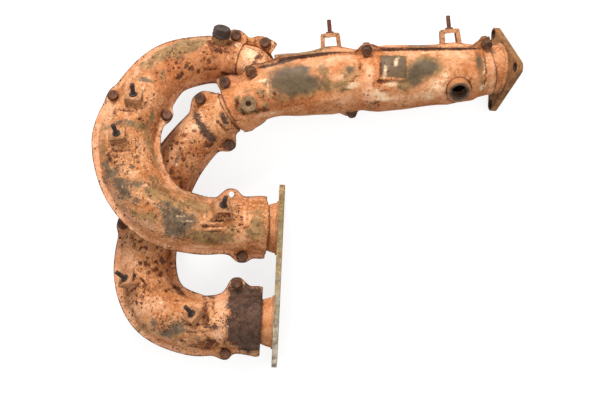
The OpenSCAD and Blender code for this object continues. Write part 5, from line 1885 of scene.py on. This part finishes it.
LOWER_MARKS: dict[Mark, list[Spot]] = {
    Mark.RUSSET: spots([
        (-113, 95, 15.4, 28.6, 23, 1), (-121, 29, 8.8, 28.6, 3, 0.9), (-145, 33, 17.6, 13.2, 3, 0.6),
        (-132, -5, 22, 15.4, 23, 0.6), (-97, 134, 15.4, 6.6, 13, 0.8), (-73, 177, 8.8, 11, 33, 0.5),
        (-141, -60, 28.6, 11, -17, 0.35), (-80, -76, 28.6, 7.7, 3, 0.7), (-22, -81, 15.4, 4.4, 3, 0.6),
        (-130, 61, 8.8, 8.8, 0, 0.7), (-74, -30, 11, 6.6, 3, 0.4)]),
    Mark.SCORCH: spots([
        (-34, -32, 19.8, 16.5, 0, 1.35), (-33, -62, 20.9, 16.5, 0, 1.4), (-24, -47, 9.9, 27.5, 3, 1.35),
        (-37, -40, 14.3, 7.7, 3, 0.5), (-44, -21, 12.1, 7.7, 13, 1), (-50, -29, 5.5, 8.8, 3, 0.9),
        (-51, -62, 5.5, 12.1, 3, 0.9), (-40, -78, 9.9, 4.4, -12, 0.8), (-30, -35, 9.9, 5.5, -7, -0.75),
        (-39, -30, 6.6, 3.3, 3, -0.35), (-101, 172, 3.7, 6.6, 8, 1.2), (-95, 161, 4, 6.6, 38, 1.25),
        (-88, 153, 4.6, 6.1, 38, 1.3), (-82.3, 146.6, 5, 4, 0, 1.3), (-71, 171, 3.1, 7.2, 33, 1.15),
        (-67.7, 164.8, 3.3, 3.9, 23, 0.9), (-86.4, 139.8, 4.4, 2.6, 3, 1), (-70.8, -59.2, 4.6, 3.3, 3, 1.1),
        (-80.6, -59.7, 5.5, 1.8, 3, 1), (-77.7, -26.6, 5.5, 3.3, 3, 0.95), (-99, -70, 13.2, 4.4, 3, 0.35),
        (-30.2, -82.6, 17.6, 1.8, 3, 0.6)]),
    Mark.SLATE: spots([
        (-118, -59, 14.3, 8.8, 3, 0.85), (-124, -69, 8.8, 5.5, 3, 0.7), (-138, -57, 3.3, 6.6, 3, 0.8),
        (-118.6, 125.2, 2, 9.9, -21, 1), (-168.9, 48.3, 3.3, 3.3, 0, 0.4), (-106, -62, 6.6, 7.7, 0, 0.7),
        (-86, -72, 15.4, 3.3, 3, 0.5)]),
    Mark.OLIVE: spots([
        (-152, -66, 9.9, 8.8, 0, 0.6), (-113, -67, 19.8, 9.9, 3, 0.55), (-143, -22, 22, 3.3, 8, 0.5),
        (-165, -61, 5.5, 7.7, 33, 0.5), (-178, 26, 3.3, 11, 3, 0.6), (-85, -77, 17.6, 6.6, 3, 0.5),
        (-139, 22, 6.6, 8.8, 3, 0.3)]),
    Mark.EMBER: spots([
        (-82, -43, 3.1, 12.1, 3, 1.3), (-77.7, -51.9, 2.2, 8.8, 3, 0.9), (-91.7, -57.4, 12.1, 1.4, 3, 1.3),
        (-94.6, -65.8, 11, 1.1, 3, 1), (-72, -77, 6.6, 4.6, 3, 1.1), (-78.5, -83.7, 6.6, 2.6, 3, 0.9),
        (-60.9, -82.9, 3.3, 2.2, 3, 0.8), (-89, -80, 13.2, 3.3, 3, 0.7), (-125.6, 108.4, 2.4, 5, 3, 1.3),
        (-119.8, 102.1, 4.4, 2.2, 3, 1.2), (-109.5, 116.8, 1.8, 3.9, 3, 1.2),
        (-130.5, 120.3, 1.8, 2.2, 0, 1.1), (-70.8, 159.2, 1.2, 7.7, 41, 1.4),
        (-86.4, 140.9, 5.5, 2.6, 3, 1.1), (-105.1, 141.2, 3.3, 1.8, 3, 0.9),
        (-128, 137.9, 2.2, 1.8, 0, 1.1), (-113.1, 149.6, 4.4, 2, 23, 0.9), (-102.4, 154.4, 3.3, 2, 23, 1),
        (-114.9, 140.7, 2.6, 1.3, 3, 0.9), (-116.9, 135.1, 3.3, 1.5, 3, 0.7),
        (-156.5, 41.2, 2.6, 2.2, 0, 1), (-166.1, 35.2, 2.6, 4.4, 3, 1.1), (-156.1, 31.3, 5.5, 2, 13, 1.2),
        (-162.4, 25.5, 2.6, 3.3, 0, 1), (-164.3, 44.1, 3.3, 1.5, 3, 0.9), (-154.2, 39.1, 3.3, 3.3, 0, 0.8),
        (-148.3, 5.3, 2.9, 2.2, 0, 1.1), (-137.5, 9.1, 3.5, 2.2, 3, 1.2), (-138.2, -0.8, 2.6, 2, 3, 1.2),
        (-132.5, -4.9, 3.1, 2.9, 0, 1.3), (-145.7, -3.4, 2.2, 2.2, 0, 0.9), (-147.6, 13, 2.2, 1.5, 3, 0.8),
        (-135.6, 15.8, 1.5, 2.6, 3, 0.9), (-151.1, 18.4, 1.8, 1.5, 0, 0.8),
        (-115.4, -18.4, 5.5, 2.2, -27, 1), (-109.7, -24.8, 5.5, 2, -27, 1), (-123, -21, 3.3, 1.5, 3, 0.8),
        (-161.8, -35.9, 5.5, 1.5, 38, 0.8), (-157.4, -36.8, 1.5, 3.3, 3, 0.8),
        (-151.1, -29.9, 2.2, 1.8, 0, 0.8), (-156.1, -17, 1.5, 5.5, 45, 1), (-150.8, -13.5, 1.2, 8.8, 45, 1),
        (-163.5, -23.9, 8.8, 1.3, 45, 1.2), (-125.4, -39.7, 1.8, 1.5, 0, 0.8),
        (-117.4, -47.1, 2.2, 1.5, 3, 0.7), (-134.5, -32.5, 1.8, 1.5, 0, 0.7),
        (-141.9, -39.4, 1.5, 1.3, 0, 0.7), (-106.2, -76.2, 4.4, 1.5, 3, 0.8),
        (-137.4, -65.5, 3.3, 1.8, 23, 0.7), (-148.6, -61.6, 3.3, 1.8, 23, 0.7),
        (-62.5, -49, 2.2, 1.5, 3, 0.8), (-72.9, -37.4, 1.8, 5.5, 3, 0.9), (-47, -75.7, 13.2, 1.3, 7, 0.9),
        (-118, 73, 4.4, 11, 3, 0.5), (-113, 89, 5.5, 8.8, 3, 0.4), (-131.7, 99.3, 2.2, 6.6, 3, 0.3),
        (-114, 31, 6.6, 3.3, 3, 0.5), (-122, 23, 3.3, 11, 3, 0.6)]),
    Mark.PALE: spots([
        (-63, -36, 6.6, 13.2, 3, 1.3), (-177, 7, 7.7, 28.6, 3, 0.5), (-153, -46, 24.2, 15.4, -17, 0.5),
        (-124, -74, 37.4, 4.4, -19, 0.7), (-67, -68, 5.5, 8.8, 3, 0.8), (-62, -60, 4.4, 11, 3, 1),
        (-56.8, -29, 4.4, 4.4, 0, 0.8), (-169, 4, 6.6, 15.4, 3, 0.7), (-142, -38, 19.8, 11, 3, 0.6),
        (-107, 156, 9.9, 7.7, 0, 0.9), (-121, 135, 8.8, 4.4, 23, 0.7), (-127, 121, 3.3, 11, -7, 0.9),
        (-173, 32, 4.4, 15.4, 3, 0.6), (-161, 8, 7.7, 5.5, 3, 0.7), (-76, 186, 6.6, 8.8, 23, 0.7),
        (-151, -75, 17.6, 3.3, -32, 0.8), (-118, -87, 22, 3.3, -12, 0.8), (-178, -23, 3.3, 24.2, 3, 0.7),
        (-165, -54, 3.3, 15.4, 33, 0.8), (-93, 164.8, 3.3, 4.4, 3, 0.9), (-90.4, -38.2, 4.4, 4.4, 0, 0.5)]),
    Mark.CREAM: spots([
        (-107, 159, 6.6, 4.4, 23, 0.7), (-95.5, 172.3, 2.2, 5.5, 23, 0.8),
        (-98.2, 157.9, 2.2, 5.5, 38, 0.8), (-111.9, 145.2, 4.4, 2.2, 23, 0.6),
        (-131.1, -35.6, 3.3, 1.5, 3, 0.6), (-101.9, -74.9, 2.6, 1.1, 3, 0.9),
        (-161, -54.5, 5.5, 1.3, -27, 0.8), (-67.9, -50.3, 4.4, 2.2, 3, 0.8),
        (-76.5, 188.5, 4.4, 1.7, 63, 0.7), (-120.4, 116.3, 1.5, 4.4, 3, 0.7),
        (-145.5, -82.4, 8.8, 1.3, -27, 0.6)]),
    Mark.SPECK: spots([
        (-162, 34, 15.4, 15.4, 0, 1), (-135, 6, 24.2, 24.2, 0, 1), (-148, -33, 26.4, 19.8, 3, 0.8),
        (-114, -59, 33, 15.4, 3, 0.6), (-106, 141, 26.4, 15.4, 3, 0.85), (-116, 106, 13.2, 24.2, 3, 1),
        (-123, 34, 15.4, 11, 3, 0.8), (-74, -79, 17.6, 8.8, 3, 0.7), (-80, 162, 15.4, 15.4, 0, 0.5),
        (-131, 77, 17.6, 17.6, 0, 0.8)]),
}
COLLECTOR_PRESSES: list[Spot] = spots([
    (87, 221, 5.5, 26.4, 3, 1.4), (77.7, 224.1, 1.8, 22, 8, -0.8), (95.7, 213.9, 1.8, 11, 3, -0.7),
    (11, 213, 28.6, 13.2, 8, -1), (54, 228, 13.2, 11, 0, 0.7), (45, 195, 22, 4.4, 11, 0.9),
    (13, 185, 24.2, 3.3, 13, 0.7), (-15.5, 197.9, 2, 2, 0, -1.4), (-54.7, 191.7, 2.9, 3.5, -7, 1.6),
    (-27, 185.3, 3.1, 3.7, 0, 1.6), (140, 228, 15.4, 11, 3, -0.7), (165, 209, 17.6, 8.8, 3, 0.6),
    (202, 213, 3.3, 15.4, 3, 0.5), (-35.3, 200.3, 6.6, 1.3, -47, 0.8), (-29.7, 196.1, 5.5, 1.3, -47, 0.8),
    (-41, 204.4, 7.7, 1.8, 13, 0.5), (-52.5, 166.6, 11, 2.2, -17, -0.6), (31.8, 243.9, 27.5, 1.5, 9, 0.6),
    (69.4, 213.8, 8.8, 2.2, 23, 0.5), (62, 187, 8.8, 4.4, 3, 0.5), (207.6, 239.8, 2.2, 15.4, 3, -0.5),
    (105.3, 197.9, 22, 1.8, 7, 0.6), (141.2, 252.2, 44, 1.8, 3, 0.4)]) + spots([
    (112, 232, 14.1, 13.2, 0, 1.50)], Shape.BOX) + spots([
        (184, 213, 17.1, 17.1, 0, 1.1)], Shape.RING)
COLLECTOR_MARKS: dict[Mark, list[Spot]] = {
    Mark.RUSSET: spots([
        (-37, 183, 17.6, 9.9, 13, 0.8), (-53, 178, 11, 8.8, 0, 0.7), (12, 195, 33, 6.6, 11, 0.7),
        (49, 233, 28.6, 5.5, 8, 0.5), (144, 193, 44, 4.4, 7, 0.4), (192, 229, 11, 15.4, 3, 0.5),
        (183, 204, 19.8, 8.8, 3, 0.6), (45, 189, 26.4, 5.5, 11, 0.4), (-49, 204, 8.8, 5.5, 3, 0.6),
        (125, 248, 33, 3.3, 6, 0.4), (105, 211, 33, 17.6, 3, 0.25)]),
    Mark.STAIN: spots([
        (-2, 215, 23.1, 16.5, 8, 1.25), (16, 210, 22, 9.9, 11, 0.9), (142, 231, 16.5, 12.1, 13, 1.15),
        (150, 236, 9.9, 5.5, 3, 0.8), (135, 219, 6.6, 6.6, 23, 0.9), (206, 244, 5, 12.1, 3, 1),
        (65, 228, 6.6, 5.5, 0, 0.8), (12, 227, 8.8, 3.3, 13, 0.8), (100.1, 239.3, 1.8, 5.5, 3, 0.6),
        (179.4, 257.2, 33, 1.1, 3, 0.2)]) + spots([
        (112, 234, 13.2, 11.6, 0, 1.15)], Shape.BOX),
    Mark.OLIVE: spots([
        (3, 213, 29.7, 19.8, 8, 0.75), (144, 233, 22, 15.4, 11, 0.7), (-56.3, 191.6, 3.3, 4.4, -7, 1.2),
        (-51.9, 178.7, 5.5, 3.3, -17, 1.1), (-25.9, 185.3, 3.7, 5, 3, 1.1),
        (-32, 200.4, 4.4, 2.6, -27, 0.9), (-47.4, 199.7, 5.5, 2.2, 13, 0.7),
        (-38.7, 177.1, 6.6, 2.6, 3, 0.7), (31, 208, 19.8, 7.7, 11, 1.1), (55, 211, 11, 4.4, 18, 0.8),
        (38, 226, 5.5, 6.6, 0, 0.85), (65, 228, 8.8, 7.7, 0, 0.8), (123, 214, 7.7, 6.6, 0, 1.1),
        (129, 226, 4.4, 11, 3, 0.8), (158, 235, 8.8, 7.7, 0, 0.7), (147, 244, 15.4, 3.3, 3, 0.6),
        (91, 192, 8.8, 5.5, 3, 0.6), (114.1, 245.5, 17.6, 2.2, 3, 0.8), (61, 205, 6.6, 3.3, 3, 0.7),
        (-20, 187, 8.8, 4.4, 3, 0.35), (210, 230, 3.3, 17.6, 3, 0.8), (196, 246, 6.6, 6.6, 0, 0.4),
        (-4, 195, 15.4, 3.3, 8, 0.4), (107.9, 211.2, 15.4, 2.2, 3, 0.5)]),
    # The thin scorch lines along the top of the collector are painted shadow of the seam's gap.
    Mark.SCORCH: spots([
        (-55.5, 186.2, 2.6, 2.6, 0, 1), (-48.5, 176.6, 4, 1.8, -7, 0.9), (-24.6, 181, 2.4, 1.8, 3, 1),
        (108.3, 252.3, 24.2, 1.3, 3, 1.1), (152, 255.9, 28.6, 1.4, 3, 1.2),
        (190.3, 257.7, 17.6, 1.2, 5, 1.1), (10, 240.7, 28.6, 2.9, 16, 0.9),
        (-26.7, 228.7, 11, 1.4, 13, 1.1), (-4, 236.3, 15.4, 1.9, 21, 1.4), (26.4, 243.7, 22, 1.8, 10, 1.5),
        (56.9, 248.4, 15.4, 1.3, 6, 1.3), (-44.1, 187.3, 4.2, 4.2, 0, 1.9), (146.5, 255.5, 33, 0.9, 3, 0.5)]),
    Mark.EMBER: spots([
        (-56.7, 187.2, 2.9, 3.3, 0, 0.9), (-49.6, 175.5, 4.4, 2.2, -7, 0.9), (-24.6, 181, 3.3, 2.6, 0, 1),
        (-28.5, 195.1, 2.2, 4.4, 3, 0.8), (211.6, 248.8, 1, 8.8, 9, 1), (213.9, 233.5, 1, 8.8, 3, 1),
        (212.4, 218.1, 1, 8.8, -7, 1), (-15.5, 197.9, 2.4, 2.2, 0, 1.4), (98.4, 228.3, 1.7, 11, 3, 1.2),
        (103.3, 217.2, 6.6, 1.3, 3, 1.3), (97.8, 217.3, 2.6, 2.6, 0, 1.2), (76.3, 231.7, 1.8, 4.4, 3, 1),
        (73.4, 221.7, 4.4, 1.8, 23, 0.8), (106.1, 227.5, 3.3, 3.3, 0, 0.6), (66, 215.8, 4.4, 2.2, 23, 0.8),
        (61, 206.8, 3.3, 1.8, 3, 0.7), (-29, 180.8, 4.4, 2.2, 3, 0.8), (-34.1, 198.1, 5.5, 1.5, -47, 0.7),
        (-23, 194.3, 1.5, 5.5, 13, 0.6), (-36.5, 178.3, 6.6, 2.2, 13, 0.7),
        (-56.3, 179.6, 5.5, 5.5, 0, 0.4), (12.4, 189.3, 28.6, 1.5, 11, 0.55),
        (45.5, 184.2, 15.4, 2.2, 3, 0.35), (94.5, 194.1, 6.6, 2.2, 23, 0.6),
        (102.6, 207.6, 5.5, 0.9, 3, 0.9), (195.4, 219.5, 1.4, 9.9, -17, 1.1),
        (178.6, 201.2, 6.6, 1.3, -22, 0.9), (65.3, 184, 3.3, 1.3, 23, 1), (-55.8, 167.5, 4.4, 1.5, 3, 0.7),
        (127.5, 192.3, 33, 1.8, 6, 0.35)]),
    Mark.PALE: spots([
        (32, 233, 13.2, 4.4, 11, 1.1), (55, 220, 9.9, 5.5, 3, 0.8), (86, 219, 6.1, 22, 3, 1.2),
        (46, 237, 11, 3.3, 11, 0.8), (131, 246, 6.6, 4.4, 3, 1), (165, 216, 17.6, 11, 3, 0.8),
        (180, 245, 15.4, 8.8, 3, 0.5), (2, 182, 19.8, 3.3, 15, 0.7), (143, 202, 26.4, 5.5, 6, 0.7),
        (-29, 175, 9.9, 3.3, 21, 0.7), (-47, 211, 9.9, 3.3, 3, 0.4), (-38, 219, 6.6, 3.3, 3, 0.7),
        (220, 236, 4.4, 28.6, 3, 1.1), (61, 196, 13.2, 5.5, 3, 0.7), (100, 201, 19.8, 6.6, 7, 0.8)]),
    Mark.CREAM: spots([
        (69.5, 211.6, 7.7, 2.9, 25, 1.2), (95, 204, 11, 4.4, -7, 1.1), (111.1, 214.6, 7.7, 2.4, 3, 1.2),
        (103.9, 228.5, 2.4, 6.6, -7, 1.1), (115.5, 238.9, 2.2, 4.4, -17, 1.3),
        (105.2, 199, 13.2, 2.2, 8, 0.8), (159, 216, 11, 5.5, 13, 0.9), (152, 205, 9.9, 4.4, 3, 0.9),
        (170, 228, 5.5, 6.6, 0, 0.6), (-30.4, 212.6, 6.6, 2.2, 11, 0.8), (-23.4, 203, 1.5, 8.8, 3, 0.7),
        (213.1, 240.1, 1.3, 11, -7, 1), (211.9, 217, 5.5, 2.2, 38, 1), (-20, 176.8, 8.8, 1.3, 23, 0.7),
        (152.2, 251.6, 13.2, 0.9, 5, 0.8)]),
    Mark.SPECK: spots([
        (104, 225, 11, 15.4, 3, 0.8), (66, 213, 15.4, 8.8, 3, 0.8), (-30, 194, 11, 15.4, 3, 0.6),
        (12, 188, 33, 6.6, 3, 0.3), (154, 211, 26.4, 13.2, 3, 0.3), (94, 197, 15.4, 8.8, 3, 0.6)]),
}
UPPER_PIPE_MARKS: dict[Mark, list[Spot]] = {
    Mark.CREAM: spots([
        (-45, 239, 7.7, 9.9, 0, 0.6), (-48.4, 245.8, 5.5, 4.4, 0, 0.6), (-42.1, 229.6, 8.8, 2.2, 3, 0.6)]),
    Mark.PALE: spots([
        (-42, 237, 13.2, 14.3, 0, 1.1)]),
    Mark.EMBER: spots([
        (-39.2, 236.3, 1.2, 9.9, -25, 1.2), (-35.4, 238.7, 1.1, 9.9, -25, 1.2),
        (-31.6, 240, 1, 7.7, -25, 1), (-44.1, 224, 8.8, 1.5, 3, 0.9), (-48.9, 232.6, 1.1, 7.7, -32, 0.6),
        (-43, 248.2, 6.6, 0.9, -17, 0.7)]),
}
COLLECTOR_BACK_PRESSES: list[Spot] = spots([
    (47, 251, 18.7, 5.5, 6, 2.6), (179, 264, 19.8, 5, 3, 2.4)])
COLLECTOR_BACK_MARKS: dict[Mark, list[Spot]] = {
    Mark.OLIVE: spots([
        (10, 245, 35.2, 4.4, 12, 1.1), (21, 249, 24.2, 4.4, 11, 0.9), (-17, 234, 13.2, 4.4, 28, 0.8)]),
    Mark.SLATE: spots([
        (145, 260, 14.3, 4, 3, 1.1), (-0.9, 239.2, 17.6, 2.6, 21, 0.8)]),
    Mark.PALE: spots([
        (42, 253, 11, 4.4, 3, 0.6), (108, 258, 22, 3.3, 3, 0.9), (179, 264, 13.2, 4.4, 3, 0.5),
        (-9, 242, 13.2, 3.3, 3, 0.5)]),
    Mark.CREAM: spots([
        (204.3, 263.8, 8.8, 1.3, 3, 0.9)]),
    Mark.EMBER: spots([
        (-17.3, 239.5, 11, 2.2, 13, 0.6), (53.4, 251.5, 15.4, 1.3, 3, 0.5)]),
    Mark.SPECK: spots([
        (43, 239, 220, 66, 3, 0.4)]),
}
BACK_MARKS: dict[Mark, list[Spot]] = {
    Mark.SPECK: spots([
        (-92, 79, 220, 220, 0, 0.6)]),
    Mark.OLIVE: spots([
        (-151, 164, 66, 66, 0, 0.35), (-109, -31, 55, 44, 0, 0.35)]),
}


# ---------------------------------------------------------------- stage


@dataclass
class Studio:
    """The camera, the lamps, the world and the floor."""

    distance: float = 3.0
    wide: float = 0.66
    aim: tuple[float, float, float] = (0.0171, 0.0841, 0.01)
    roll: float = 2.59
    sensor: float = 36.0
    world_light: float = 0.45
    floor_glow: float = 0.80
    floor_grey: float = 0.36
    floor_reach: float = 6.0

    def camera(self) -> None:
        """A long lens straight above the part, turned a little about its own axis."""
        data = bpy.data.cameras.new("camera")
        data.sensor_width = self.sensor
        data.lens = self.sensor * self.distance / self.wide
        data.clip_end = 20
        made = bpy.data.objects.new("camera", data)
        made.location = (self.aim[0], self.aim[1], self.aim[2] + self.distance)
        made.rotation_euler = (0, 0, math.radians(self.roll))
        bpy.context.scene.collection.objects.link(made)
        bpy.context.scene.camera = made

    def lamps(self) -> None:
        """Three large soft lamps round the camera, and an even world."""
        for name, place, size, power in (("key", (-0.5, 1.7, 1.3), 0.9, 44),
                                         ("fill", (1.4, 0.2, 1.7), 1.6, 9),
                                         ("front", (-0.6, -1.2, 2.0), 1.6, 10)):
            data = bpy.data.lights.new(name, "AREA")
            data.shape = "DISK"
            data.size = size
            data.energy = power
            lamp = bpy.data.objects.new(name, data)
            lamp.location = place
            away = np.array(place) - np.array(self.aim)
            flat = math.hypot(away[0], away[1])
            lamp.rotation_euler = (math.atan2(flat, away[2]), 0, math.atan2(away[1], away[0]) + math.pi / 2)
            bpy.context.scene.collection.objects.link(lamp)
        world = bpy.data.worlds.new("studio")
        world.use_nodes = True
        graph = Graph(world.node_tree)
        seen = graph.node("ShaderNodeLightPath").outputs["Is Camera Ray"]
        strength = graph.node("ShaderNodeMapRange", {0: seen, 3: self.world_light, 4: 1.0}).outputs[0]
        back = graph.node("ShaderNodeBackground", {"Color": (1, 1, 1, 1), "Strength": strength})
        out = graph.node("ShaderNodeOutputWorld")
        graph.link(back.outputs[0], out, 0)
        bpy.context.scene.world = world

    def floor(self) -> None:
        """A pale floor at the part's lowest point, white to the camera but for the soft shadow."""
        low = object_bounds()[0][2] - 0.0002
        reach = self.floor_reach
        mesh = bpy.data.meshes.new("floor")
        corners = [(-reach, -reach, low), (reach, -reach, low), (reach, reach, low), (-reach, reach, low)]
        mesh.from_pydata(corners, [], [(0, 1, 2, 3)])
        piece = bpy.data.objects.new("floor", mesh)
        bpy.context.scene.collection.objects.link(piece)
        material = bpy.data.materials.new("floor_white")
        material.use_nodes = True
        graph = Graph(material.node_tree)
        path = graph.node("ShaderNodeLightPath")
        seen = graph.math("MAXIMUM", path.outputs["Is Camera Ray"], path.outputs["Is Glossy Ray"])
        strength = graph.times(seen, self.floor_glow)
        glow = graph.node("ShaderNodeEmission", {"Color": (1, 1, 1, 1), "Strength": strength})
        paint = graph.node("ShaderNodeBsdfDiffuse", {"Color": (*[self.floor_grey] * 3, 1)})
        both = graph.node("ShaderNodeAddShader", {0: paint.outputs[0], 1: glow.outputs[0]})
        out = graph.node("ShaderNodeOutputMaterial")
        graph.link(both.outputs[0], out, 0)
        mesh.materials.append(material)
        piece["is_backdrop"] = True

    def build(self) -> None:
        """Sets the stage, with the camera first."""
        self.camera()
        self.lamps()
        self.floor()
        bpy.context.scene.view_settings.view_transform = "Standard"


def main() -> None:
    """Builds the stage and every sub-assembly, in order."""
    logging.basicConfig(level=logging.INFO, format="%(message)s")
    Studio().build()
    layout = Layout()
    finishes = Finishes(layout)
    upper, lower, collector = UpperBranch(layout), LowerBranch(layout), Collector(layout)
    shields = {"upper": upper.shield(), "lower": lower.shield(), "collector": collector.shield()}
    for assembly in (upper, lower, collector, Flanges(layout), Clamps(layout, list(shields.values())),
                     StudBrackets(layout, shields), SensorBung(layout), PlugAndBoss(layout),
                     WeldNut(shields["collector"])):
        LOG.info("building %s", type(assembly).__name__)
        assembly.build(finishes)


if __name__ == "__main__":
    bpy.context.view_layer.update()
    main()
